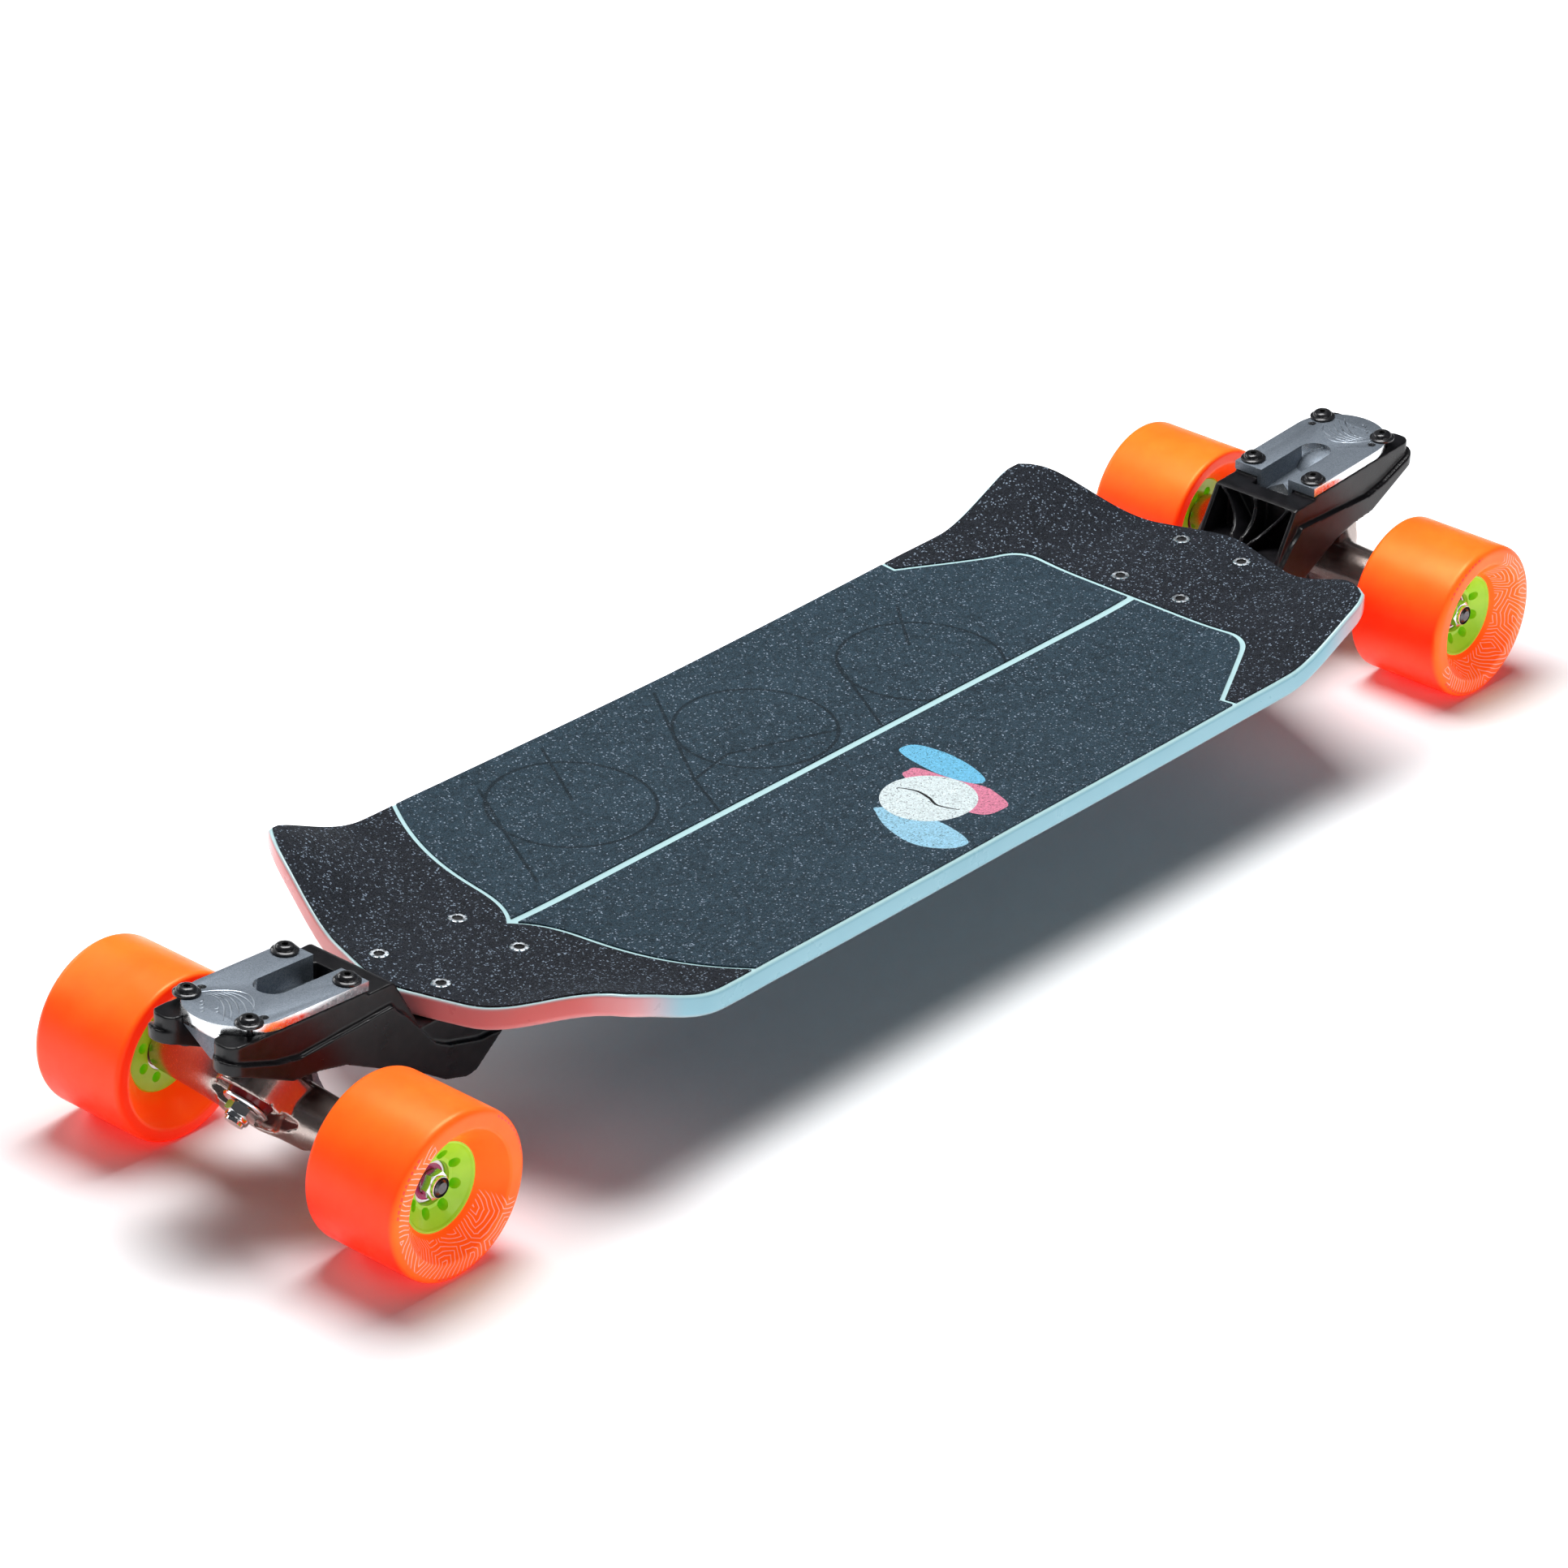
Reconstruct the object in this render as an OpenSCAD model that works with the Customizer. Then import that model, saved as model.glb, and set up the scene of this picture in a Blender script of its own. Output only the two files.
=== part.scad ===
// Drop-bracket longboard: a pressed deck hangs between two stepped brackets, and each
// bracket carries a reverse-kingpin truck with two large urethane wheels.
// +X is the front, +Y the left side, +Z up, and Z = 0 is the ground.
// Every truck part is drawn at the +X end and mirrored for the rear.

/* [Deck] */
// Half of the deck's length on its centre line
deck_half_length = 333.5; // [331:0.5:335]
// Half of the deck's width at the middle
deck_half_width = 120.8; // [118:0.2:122]
// Thickness of the laminate
deck_thickness = 12.5; // [11:0.5:13.5]
// Height of the painted top at the middle of the board
deck_height = 74.2; // [73:0.1:75]
// Upward tilt of each end, in degrees
end_tilt = 2.93; // [2.5:0.01:3.2]
// Depth of the concave at the middle of the board
concave_depth = 3; // [1:0.5:5]
// Height of the wings over the wheels
wing_rise = 22; // [14:1:23]
// Thickness of the grip sheets
grip_thickness = 0.9; // [0.7:0.1:1.2]

/* [Trucks] */
// Distance of each axle from the middle of the board
axle_x = 402.85; // [400:0.05:404]
// Half of the hanger's width
hanger_half = 75; // [74:0.5:75]
// Slope of the kingpin below the horizontal, in degrees
kingpin_slope = 37.5; // [36:0.1:39]
// Upward tilt of the baseplate, in degrees
plate_tilt = 3.77; // [3.5:0.01:4]

/* [Wheels] */
// Radius of the tyre
wheel_r = 43.5; // [41:0.5:44]
// Inner face of the tyre, from the centre plane
wheel_in = 61.9; // [60:0.1:64]
// Outer face of the tyre, from the centre plane
wheel_out = 120.6; // [118:0.1:122]

/* [Hidden] */
$fn = 64;

ENDS = ["front", "rear"];
CORNERS = ["front_left", "front_right", "rear_left", "rear_right"];
TRUCK_PARTS = ["bracket", "baseplate", "kingpin", "kingpin_nut", "cup_washers", "inner_bushing",
    "outer_bushing", "pivot_cup", "hanger", "axle", "axle_nuts", "speed_rings", "inner_races",
    "bearing_spacers"];
WHEEL_PARTS = ["tyre", "core", "outer_races", "shields", "balls"];

// ---------- deck surface ----------

// Smooth step from 0 to 1
function ease(t) = let (c = min(1, max(0, t))) c * c * (3 - 2 * c);
// Square of the part of v above a limit
function over(v, limit) = pow(max(0, v - limit), 2);

tilt_start = 205;
tilt_end = 245;
tilt_slope = tan(end_tilt);
// Rise of the centre line towards the ends
function tilt_rise(x) = x < tilt_end
    ? tilt_slope * over(x, tilt_start) / (2 * (tilt_end - tilt_start))
    : tilt_slope * (x - (tilt_start + tilt_end) / 2);
// Rise towards the rails
function concave(x, y) =
    (concave_depth + 1.5 * pow(min(1, x / 190), 2)) * over(y, 30) / over(120, 30);
// Wings over the wheels
function wing(x, y) = wing_rise * ease((x - 223) / 82) * ease((y - 43) / 77);
function deck_z(x, y) =
    deck_height + tilt_rise(abs(x)) + concave(abs(x), abs(y)) + wing(abs(x), abs(y));

// Plan outline: where the end lies at a width y, and the rail at a length x
function end_x(y) = deck_half_length - 36 * pow(y / 119, 1.9) - 5.6 * over(y, 110) / 144;
function rail_y(x) = deck_half_width + 1.7 * min(1, x / 200) - 3.7 * over(x, 278) / 144;

// Stations of the surface net, as fractions of the half length and half width
half_stations_x = [0, 0.12, 0.24, 0.36, 0.48, 0.58, 0.66, 0.72, 0.77, 0.82, 0.87, 0.91, 0.95, 0.98,
    1];
half_stations_y = [0, 0.17, 0.3, 0.4, 0.5, 0.6, 0.7, 0.8, 0.88, 0.95, 1];
function both_ways(h) = concat([for (i = [len(h) - 1 : -1 : 1]) -h[i]], h);
us = both_ways(half_stations_x);
vs = both_ways(half_stations_y);
nu = len(us);
nv = len(vs);

// Point of the net, drawn in from the outline and down from the top
function net_point(i, j, inset, depth) = let (
    x = us[i] * (end_x(abs(vs[j]) * 122) - inset),
    y = vs[j] * (rail_y(abs(x)) - inset)
) [x, y, deck_z(x, y) - depth];

// Cells of the outline, counter-clockwise from above
rim = concat(
    [for (i = [0 : nu - 2]) [i, 0]],
    [for (j = [0 : nv - 2]) [nu - 1, j]],
    [for (i = [nu - 1 : -1 : 1]) [i, nv - 1]],
    [for (j = [nv - 1 : -1 : 1]) [0, j]]);
nr = len(rim);

// Slab that follows the deck surface; rings hold [inset, depth] from the top edge to the bottom edge
module deck_slab(rings) {
    last = len(rings) - 1;
    top = [for (i = [0 : nu - 1], j = [0 : nv - 1]) net_point(i, j, rings[0][0], rings[0][1])];
    bottom = [for (i = [0 : nu - 1], j = [0 : nv - 1]) net_point(i, j, rings[last][0], rings[last][1])];
    sides = [for (k = [1 : 1 : last - 1], r = rim) net_point(r[0], r[1], rings[k][0], rings[k][1])];
    base = nu * nv;
    function ring_id(k, m) = let (r = rim[m % nr], cell = r[0] * nv + r[1])
        k == 0 ? cell : k == last ? base + cell : 2 * base + (k - 1) * nr + m % nr;
    // The diagonals run the same way in opposite quarters, so the net is symmetric
    function cell_faces(i, j) = let (a = i * nv + j, b = a + 1, d = a + nv, c = d + 1,
        along = (us[i] + us[i + 1]) * (vs[j] + vs[j + 1]) > 0)
        along ? [[a, b, c], [a, c, d]] : [[a, b, d], [b, c, d]];
    function flipped(f, shift) = [f[2] + shift, f[1] + shift, f[0] + shift];
    function edge_faces(k, m) = let (
        a = ring_id(k, m), b = ring_id(k, m + 1), c = ring_id(k + 1, m + 1), d = ring_id(k + 1, m)
    ) [[a, b, c], [a, c, d]];
    faces = concat(
        [for (i = [0 : nu - 2], j = [0 : nv - 2], f = cell_faces(i, j)) f],
        [for (i = [0 : nu - 2], j = [0 : nv - 2], f = cell_faces(i, j)) flipped(f, base)],
        [for (k = [0 : last - 1], m = [0 : nr - 1], f = edge_faces(k, m)) f]);
    polyhedron(concat(top, bottom, sides), faces);
}

// ---------- shared places and frames ----------

// Deck screws: a rectangle centred here, square to the tilted end
deck_bolt_x = 285.5;
deck_pattern = [53.975, 41.275];
// Truck bolts: a rectangle centred here, square to the baseplate
plate_x = 406.43;
plate_z = 108.8;
plate_thickness = 5;
truck_pattern = [63.5, 41.275];
bolt_hole_r = 2.7;
shank_r = 2.4;
// Centre of the hanger's ring, where the kingpin and the steering axis cross
ring_x = 408.73;
ring_z = 62.31;
axle_z = wheel_r;
axle_r = 4;
bracket_flange = 6.4;
fork_half = 12.4;

// Undersides of the deck and of the baseplate along the centre plane
function deck_under(x) = deck_height + tilt_rise(x) - deck_thickness / cos(end_tilt) - 0.03;
function plate_under(x) = plate_z - plate_thickness / cos(plate_tilt) + tan(plate_tilt) * (x - plate_x);

module deck_frame() {
    translate([deck_bolt_x, 0, deck_z(deck_bolt_x, 0)]) rotate([0, -end_tilt, 0]) children();
}
module plate_frame() {
    translate([plate_x, 0, plate_z]) rotate([0, -plate_tilt, 0]) children();
}
// Z runs down the kingpin towards its nut, and X runs down the steering axis towards the pivot
module truck_frame() {
    translate([ring_x, 0, ring_z]) rotate([0, 90 + kingpin_slope, 0]) children();
}
module axle_frame() {
    translate([axle_x, 0, axle_z]) rotate([-90, 0, 0]) children();
}
module at_corners(pattern) {
    for (sx = [-0.5, 0.5], sy = [-0.5, 0.5])
        translate([sx * pattern[0], sy * pattern[1], 0]) children();
}
// Outline in X and Z, given a width along Y
module side_solid(outline, width) {
    rotate([90, 0, 0]) linear_extrude(width, center = true) polygon(outline);
}
module tube(h, r, bore) {
    difference() {
        cylinder(h = h, r = r);
        translate([0, 0, -1]) cylinder(h = h + 2, r = bore);
    }
}
module hexagon(h, across_flats) {
    cylinder(h = h, r = across_flats / sqrt(3), $fn = 6);
}
module hex_nut(h, across_flats, bore) {
    difference() {
        hexagon(h, across_flats);
        translate([0, 0, -1]) cylinder(h = h + 2, r = bore);
    }
}
// The same thing at the front and at the rear
module both_ends() {
    children();
    mirror([1, 0, 0]) children();
}
module at_end(name) {
    if (name == "front") children();
    else mirror([1, 0, 0]) children();
}

// ---------- deck and grips ----------

head_r = 4.75;
head_seat = 3.3;
head_clearance = 0.2;

module screw_bores(seat_top) {
    both_ends() deck_frame() at_corners(deck_pattern) {
        translate([0, 0, -30]) cylinder(h = 60, r = bolt_hole_r);
        translate([0, 0, -head_seat]) cylinder(h = seat_top, r = head_r + head_clearance);
    }
}

module deck() {
    t = deck_thickness;
    color([0.55, 0.78, 0.83]) difference() {
        deck_slab([[2, 0], [0.4, 1.2], [0, 3], [0, t - 3.5], [0.8, t - 1], [3, t]]);
        screw_bores(20);
    }
}

module grip_sheet() {
    deck_slab([[2, -grip_thickness], [2, -0.02]]);
}

// Gap line behind the centre grips: a soft vertex on the centre line, swept forward at the rails
function rear_line(y) = -(227 + 17 * exp(-abs(y) / 17) - 27 * over(abs(y), 35) / 7569);
// Gap line in front of the centre grips, half of it, moved forward by e
front_straight = 243;
front_corner = [222, 64.4];
front_round = 21;
front_turn = 62.3;
front_notch = [176.5, 112];
function front_line(e) = concat(
    [[front_straight + e, 0]],
    [for (k = [0 : 6]) let (a = front_turn * k / 6, r = front_round + e)
        [front_corner[0] + r * cos(a), front_corner[1] + r * sin(a)]],
    [[front_notch[0] + e, front_notch[1] + 0.6 * e], [front_notch[0] + e, beyond[1]]]);
line_half = 1.5;
stripe_half = 2.5;
// A length and a width that lie outside the deck
beyond = [340, 130];
function mirrored_y(points) = [for (i = [len(points) - 1 : -1 : 0]) [points[i][0], -points[i][1]]];

module grip_region(region) {
    if (region == "front") {
        half = concat(front_line(line_half), [beyond]);
        polygon(concat(half, mirrored_y(half)));
    }
    if (region == "rear") {
        half = concat([for (y = [0 : 5 : beyond[1]]) [rear_line(y) - line_half, y]],
            [[-beyond[0], beyond[1]]]);
        polygon(concat(half, mirrored_y(half)));
    }
    if (region == "centre") {
        half = [for (y = [beyond[1] : -5 : 0]) [rear_line(y) + line_half, y]];
        intersection() {
            polygon(concat(front_line(-line_half), half));
            translate([-beyond[0], stripe_half]) square([2 * beyond[0], beyond[1]]);
        }
    }
}

module grip_piece(region) {
    intersection() {
        grip_sheet();
        translate([0, 0, 50]) linear_extrude(80) grip_region(region);
    }
}

module end_grip(region) {
    color([0.06, 0.07, 0.08]) difference() {
        grip_piece(region);
        screw_bores(20);
    }
}
module centre_grip() {
    color([0.42, 0.5, 0.56]) grip_piece("centre");
}

// ---------- fasteners ----------

deck_nut_h = 5;
deck_nut_top = -(deck_thickness + bracket_flange);
nut_flats = 8;
truck_nut_h = 6;
truck_nut_top = -20;
nut_pocket_r = 5.2;
flange_r = 6.9;
flange_h = 1.6;
// Half section of a truck bolt's dome, upwards from its flange
bolt_dome = [[0, 0], [5.2, 0], [5, 1], [4.2, 2.1], [3.2, 2.6], [0, 2.6]];

module deck_screws() {
    shank = head_seat - deck_nut_top + deck_nut_h + 1;
    color([0.75, 0.76, 0.77]) both_ends() deck_frame() at_corners(deck_pattern) difference() {
        union() {
            translate([0, 0, -head_seat]) cylinder(h = head_seat + grip_thickness, r = head_r);
            translate([0, 0, deck_nut_top - deck_nut_h - 1])
                cylinder(h = shank - head_seat, r = shank_r);
        }
        translate([0, 0, grip_thickness - 2.6]) hexagon(5, 4);
    }
}
module deck_nuts() {
    color([0.3, 0.3, 0.31]) both_ends() deck_frame() at_corners(deck_pattern)
        translate([0, 0, deck_nut_top - deck_nut_h]) hex_nut(deck_nut_h, nut_flats, shank_r + 0.05);
}
module truck_bolts() {
    shank = -truck_nut_top + truck_nut_h + 0.5;
    color([0.06, 0.06, 0.07]) both_ends() plate_frame() at_corners(truck_pattern) difference() {
        union() {
            cylinder(h = flange_h, r = flange_r);
            translate([0, 0, flange_h]) rotate_extrude() polygon(bolt_dome);
            translate([0, 0, -shank]) cylinder(h = shank, r = shank_r);
        }
        translate([0, 0, flange_h - 0.2]) hexagon(5, 3.2);
    }
}
module truck_nuts() {
    color([0.06, 0.06, 0.07]) both_ends() plate_frame() at_corners(truck_pattern)
        translate([0, 0, truck_nut_top - truck_nut_h]) hex_nut(truck_nut_h, nut_flats, shank_r + 0.05);
}

// ---------- drop bracket ----------

bracket_half = 30.6;
ledge = 2.8;
arm_tip_x = 450;
fork_x = 363;
nose_x = 247;
riser_x = 334;
shelf_x = 368.5;
cell_back = 359;
cell_half = 25;
cell_z = [71, 97.3];
rib = 2.4;

// Underside of the bracket, from the arm tips to the nose
bracket_bottom = [[459.5, 94], [452, 92], [440, 86], [420, 76], [403, 74], [385, 69.5], [372, 63],
    [360, 56], [335, 43], [320, 33], [306, 28.5], [299, 29], [266, 55], [nose_x, 58.5]];
// Line of the ledge round the sides, from the underside of the nose to the arm tips
bracket_ledge = [[280, 44], [296, 45], [317, 51], [326, 56], [331, 62], [346, 80], [350, 83], [354, 88],
    [367, 88], [392, 87], [414, 86.5], [430, 90], [451, 98], [459.5, 101]];
// Up the riser's face and over its shelf, which stands clear of the baseplate's inboard edge
riser_face = [[riser_x, deck_under(riser_x)], [341, 81], [347, 92], [350.5, 98], [353, 98.8],
    [shelf_x, 99.3]];
bracket_profile = concat([[nose_x, deck_under(nose_x)]], riser_face,
    [[shelf_x, plate_under(shelf_x)], [459.5, plate_under(459.5)]], bracket_bottom);
lower_profile = concat(bracket_ledge, [for (i = [0 : len(bracket_bottom) - 3]) bracket_bottom[i]]);

// Seen from above: a slab with a fork, the corners of its arm tips rounded by r
module bracket_plan(half, r) {
    difference() {
        translate([200, -half]) square([arm_tip_x - 200, 2 * half]);
        translate([fork_x, -fork_half]) square([100, 2 * fork_half]);
    }
    for (s = [-1, 1]) {
        translate([arm_tip_x, s * (half - r)]) circle(r);
        translate([arm_tip_x, s * (fork_half + r)]) circle(r);
        translate([arm_tip_x - 1, s * (half + fork_half) / 2 - (half - fork_half) / 2 + r])
            square([r + 1, half - fork_half - 2 * r + 0.001]);
    }
}
module bracket_tier(profile, half, r) {
    intersection() {
        side_solid(profile, 2 * half + 10);
        linear_extrude(150) bracket_plan(half, r);
    }
}
// Hollow under the nose for the deck nuts, one each side of a centre web
module nut_hollow(side) {
    translate([0, side * 13.5, 0])
        side_solid([[272, 55.5], [334, 58.8], [345, 66], [357, 66], [357, 20], [312, 20],
            [305, 30]], 23);
}
// Rib across the riser's opening; the three of them meet at the bottom of the centre plane
module cell_rib(y_top, y_bottom) {
    rotate([90, 0, 90]) linear_extrude(cell_back + 1) polygon([
        [y_top - rib / 2, cell_z[1] + 1], [y_top + rib / 2, cell_z[1] + 1],
        [y_bottom + rib / 2, cell_z[0] - 1], [y_bottom - rib / 2, cell_z[0] - 1]]);
}
module bracket() {
    color([0.05, 0.05, 0.055]) {
        difference() {
            union() {
                bracket_tier(bracket_profile, bracket_half - ledge, 6.3);
                bracket_tier(lower_profile, bracket_half, 9.1);
            }
            for (s = [-1, 1]) nut_hollow(s);
            difference() {
                translate([riser_x - 10, -cell_half, cell_z[0]])
                    cube([cell_back - riser_x + 10, 2 * cell_half, cell_z[1] - cell_z[0]]);
                difference() {
                    union() {
                        cell_rib(0, 0);
                        for (s = [-1, 1]) cell_rib(23 * s, 1.5 * s);
                    }
                    translate([336, 0, 92]) rotate([90, 0, 0])
                        cylinder(h = 80, r = 14.5, center = true);
                }
            }
            deck_frame() at_corners(deck_pattern) {
                translate([0, 0, -30]) cylinder(h = 30, r = bolt_hole_r);
                translate([0, 0, deck_nut_top - 30]) cylinder(h = 30, r = nut_pocket_r);
            }
            plate_frame() at_corners(truck_pattern) {
                translate([0, 0, -40]) cylinder(h = 40, r = bolt_hole_r);
                translate([0, 0, truck_nut_top - 45]) cylinder(h = 45, r = nut_pocket_r);
            }
            // Room for the hanger's ring as it swings
            truck_frame() translate([0, 0, -12]) cylinder(h = 32, r = 20.6);
        }
    }
}

// ---------- baseplate ----------

plate_half = 27.3;
plate_back = -39.4;
plate_round = 17.7;
slot_half = 9.3;
slot_end = -3.5;
body_half = 12;
seat_r = 12;
seat_t = [-41, -20.9];
cup_r = 8.6;
cup_s = [34.2, 47];
horn_half = 5.5;
// Side outline of the horn's web in the truck's frame, out along its lower edge and back
horn_web = [[2, -30], [2, -21.4], [12.5, -21.4], [21, -14.6], [27, -11.4], [40, -8.4], [47, -8],
    [36, -13.6], [27, -15.6], [20, -18.6], [10, -26]];
boss_r = 17;
spot_hole = [22.2, 20.6];

module plate_outline() {
    translate([plate_back, -plate_half]) square([plate_round - plate_back, 2 * plate_half]);
    translate([plate_round, 0]) circle(plate_half);
}
module slot_outline() {
    translate([plate_back - 30, -slot_half]) square([slot_end - plate_back + 30, 2 * slot_half]);
    translate([slot_end, 0]) circle(slot_half);
}
module baseplate() {
    color([0.62, 0.63, 0.65]) {
        difference() {
            union() {
                plate_frame() translate([0, 0, -plate_thickness])
                    linear_extrude(plate_thickness) plate_outline();
                side_solid([[367.5, plate_under(367.5) + 1], [367.5, 90], [372, 85], [404, 86],
                    [414, 87.5], [421, 95], [426, plate_under(426) + 1]], 2 * body_half);
                truck_frame() translate([0, 0, seat_t[0] - 3])
                    cylinder(h = seat_t[1] - seat_t[0] + 3, r = seat_r);
                // Pivot horn: a slim web down from the seat, and the housing of the pivot cup
                truck_frame() side_solid(horn_web, 2 * horn_half);
                truck_frame() rotate([0, 90, 0]) translate([0, 0, cup_s[0]])
                    cylinder(h = cup_s[1] - cup_s[0] + 2, r = cup_r + 1.8);
                // Keel under the outer end of the plate
                hull() {
                    translate([430, -body_half, 103]) cube([19, 2 * body_half, plate_under(430) - 102]);
                    translate([441, 0, 88]) sphere(3, $fn = 24);
                }
            }
            // Channel from the inboard edge, with a round boss at its outboard end
            difference() {
                intersection() {
                    plate_frame() translate([0, 0, -30]) linear_extrude(40) slot_outline();
                    side_solid([[350, 125], [350, 91], [370, 93], [396, 96], [424, 99],
                        [424, 125]], 60);
                }
                translate([412, 0, 88]) sphere(boss_r);
            }
            plate_frame() {
                at_corners(truck_pattern) translate([0, 0, -10]) cylinder(h = 20, r = bolt_hole_r);
                for (s = [-1, 1]) translate([spot_hole[0], s * spot_hole[1], -10])
                    cylinder(h = 20, r = 2.25);
            }
            truck_frame() {
                translate([0, 0, -60]) cylinder(h = 60, r = 5.1);
                translate([0, 0, seat_t[0] - 22]) cylinder(h = 22, r = 9);
                rotate([0, 90, 0]) translate([0, 0, cup_s[0] - 8])
                    cylinder(h = cup_s[1] - cup_s[0] + 8, r = cup_r);
            }
        }
    }
}

// ---------- kingpin, washers and bushings ----------

kingpin_r = 5;
head_t = -48;
tip_t = 27.6;
inner_bushing_t = [-19.5, -5.5];
outer_bushing_t = [5.5, 16.5];
washer_t = 1.8;
washer_r = 12.4;
washer_bore = kingpin_r + 0.15;
kingpin_nut_t = [18.6, 26];

module kingpin() {
    color([0.8, 0.81, 0.82]) truck_frame() {
        translate([0, 0, head_t]) hexagon(seat_t[0] - head_t, 14);
        translate([0, 0, seat_t[0]]) cylinder(h = tip_t - seat_t[0], r = kingpin_r);
    }
}
module kingpin_nut() {
    color([0.8, 0.81, 0.82]) truck_frame() translate([0, 0, kingpin_nut_t[0]])
        hex_nut(kingpin_nut_t[1] - kingpin_nut_t[0], 14.3, kingpin_r + 0.02);
}
module cup_washers() {
    color([0.8, 0.81, 0.82]) truck_frame() {
        translate([0, 0, outer_bushing_t[1] + 0.1]) tube(washer_t, washer_r, washer_bore);
        translate([0, 0, seat_t[1] + 0.05])
            tube(inner_bushing_t[0] - seat_t[1] - 0.1, washer_r, washer_bore);
    }
}
module bushing(t, profile) {
    color([0.93, 0.3, 0.12]) truck_frame() translate([0, 0, t[0]]) rotate_extrude() polygon(profile);
}
module inner_bushing() {
    h = inner_bushing_t[1] - inner_bushing_t[0];
    bushing(inner_bushing_t, [[5.2, 0], [11, 0], [12, 1], [12, h - 1], [11, h], [5.2, h]]);
}
module outer_bushing() {
    h = outer_bushing_t[1] - outer_bushing_t[0];
    bushing(outer_bushing_t, [[5.2, 0], [11.8, 0], [12.5, 1], [12.5, h - 1.5], [11, h], [5.2, h]]);
}
module pivot_cup() {
    color([0.85, 0.84, 0.8]) truck_frame() rotate([0, 90, 0]) translate([0, 0, cup_s[0]]) difference() {
        cylinder(h = cup_s[1] - cup_s[0] - 0.05, r = cup_r - 0.02);
        translate([0, 0, -1]) cylinder(h = cup_s[1] - cup_s[0] - 0.6, r = nose_r + 0.1);
    }
}

// ---------- hanger and axle ----------

ring_r = 19;
ring_t = [-6, 14];
nose_r = 6.4;
pocket_r = 15.2;
pocket_t = 12.4;
// Tips of the pocket round the washer, one along each arm
pocket_tip = [6, 29];
arm_lift = 2.5;
arm_r = [16.4, 14.2, 11.8];
root_half = 30;
yoke_half = 26;
yoke_r = 13.6;
steer_range = 15;

// Outline of the pocket: a disc with a point along each arm
module pocket_outline() {
    reach = norm(pocket_tip);
    turn = atan2(pocket_tip[1], pocket_tip[0]);
    open = acos(pocket_r / reach);
    circle(pocket_r);
    for (s = [-1, 1]) polygon([[pocket_tip[0], s * pocket_tip[1]],
        for (a = [turn - open, turn + open]) pocket_r * [cos(a), s * sin(a)]]);
}
module hanger() {
    color([0.45, 0.42, 0.4]) difference() {
        union() {
            hull() {
                truck_frame() translate([0, 0, ring_t[0]])
                    cylinder(h = ring_t[1] - ring_t[0], r = ring_r, $fn = 32);
                axle_frame() cylinder(h = 2 * yoke_half, r = yoke_r, center = true, $fn = 32);
            }
            translate([axle_x, 0, axle_z + arm_lift]) rotate([-90, 0, 0]) rotate_extrude() polygon([
                [0, -hanger_half], [arm_r[2] - 1, -hanger_half], [arm_r[2], 1 - hanger_half],
                [arm_r[1], -root_half], [arm_r[0], 0], [arm_r[1], root_half],
                [arm_r[2], hanger_half - 1], [arm_r[2] - 1, hanger_half], [0, hanger_half]]);
            truck_frame() rotate([0, 90, 0]) {
                translate([0, 0, 18]) cylinder(h = 15, r1 = 12, r2 = nose_r);
                translate([0, 0, 30]) cylinder(h = cup_s[1] - 30 - 2, r = nose_r);
            }
        }
        truck_frame() {
            translate([0, 0, -20]) cylinder(h = 60, r = 8);
            translate([0, 0, outer_bushing_t[0]]) cylinder(h = 40, r = 13.2);
            translate([0, 0, inner_bushing_t[1] - 20]) cylinder(h = 20, r = 12.6);
            // The washer and nut keep clear as the hanger steers
            for (a = [-steer_range, steer_range]) rotate([a, 0, 0])
                translate([0, 0, pocket_t]) cylinder(h = 40, r = pocket_r);
            translate([0, 0, pocket_t]) linear_extrude(40) pocket_outline();
        }
        axle_frame() cylinder(h = 200, r = axle_r + 0.05, center = true);
    }
}

// ---------- wheels ----------

bearing_y = [76.2, 93.2];
bearing_w = 7;
ring_w = 1.2;
axle_tip = 109;
nut_y = [101.4, 108.2];
core_y = [76, 108];
core_r = 23;
// Depth of the core's dished face below its rim
dish = 5.6;
hole_circle = 14.6;
hole_r = 2.75;
// Inner edge of the tyre's flat lip
lip_r = 34.4;
race_r = [6, 9, 11];
ball_r = 1.45;
ball_circle = 7.5;
ball_count = 7;
shield_w = 0.4;

// Both ends of an axle, drawn outwards from the centre plane
module axle_sides() {
    translate([axle_x, 0, axle_z]) for (s = [-1, 1]) rotate([-90 * s, 0, 0]) children();
}
module axle() {
    color([0.7, 0.71, 0.72]) axle_frame() cylinder(h = 2 * axle_tip, r = axle_r, center = true);
}
module axle_nuts() {
    color([0.8, 0.81, 0.82]) axle_sides() translate([0, 0, nut_y[0]])
        hex_nut(nut_y[1] - nut_y[0], 12.7, axle_r + 0.02);
}
module speed_rings() {
    color([0.75, 0.76, 0.77]) axle_sides() {
        translate([0, 0, hanger_half]) tube(bearing_y[0] - hanger_half, 5.9, axle_r + 0.05);
        translate([0, 0, bearing_y[1] + bearing_w]) tube(ring_w, 5.9, axle_r + 0.05);
    }
}
module inner_races() {
    color([0.8, 0.81, 0.82]) axle_sides() for (y = bearing_y)
        translate([0, 0, y]) tube(bearing_w, race_r[0], axle_r + 0.02);
}
module bearing_spacers() {
    color([0.72, 0.73, 0.74]) axle_sides() translate([0, 0, bearing_y[0] + bearing_w])
        tube(bearing_y[1] - bearing_y[0] - bearing_w, 5.6, axle_r + 0.05);
}

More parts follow.
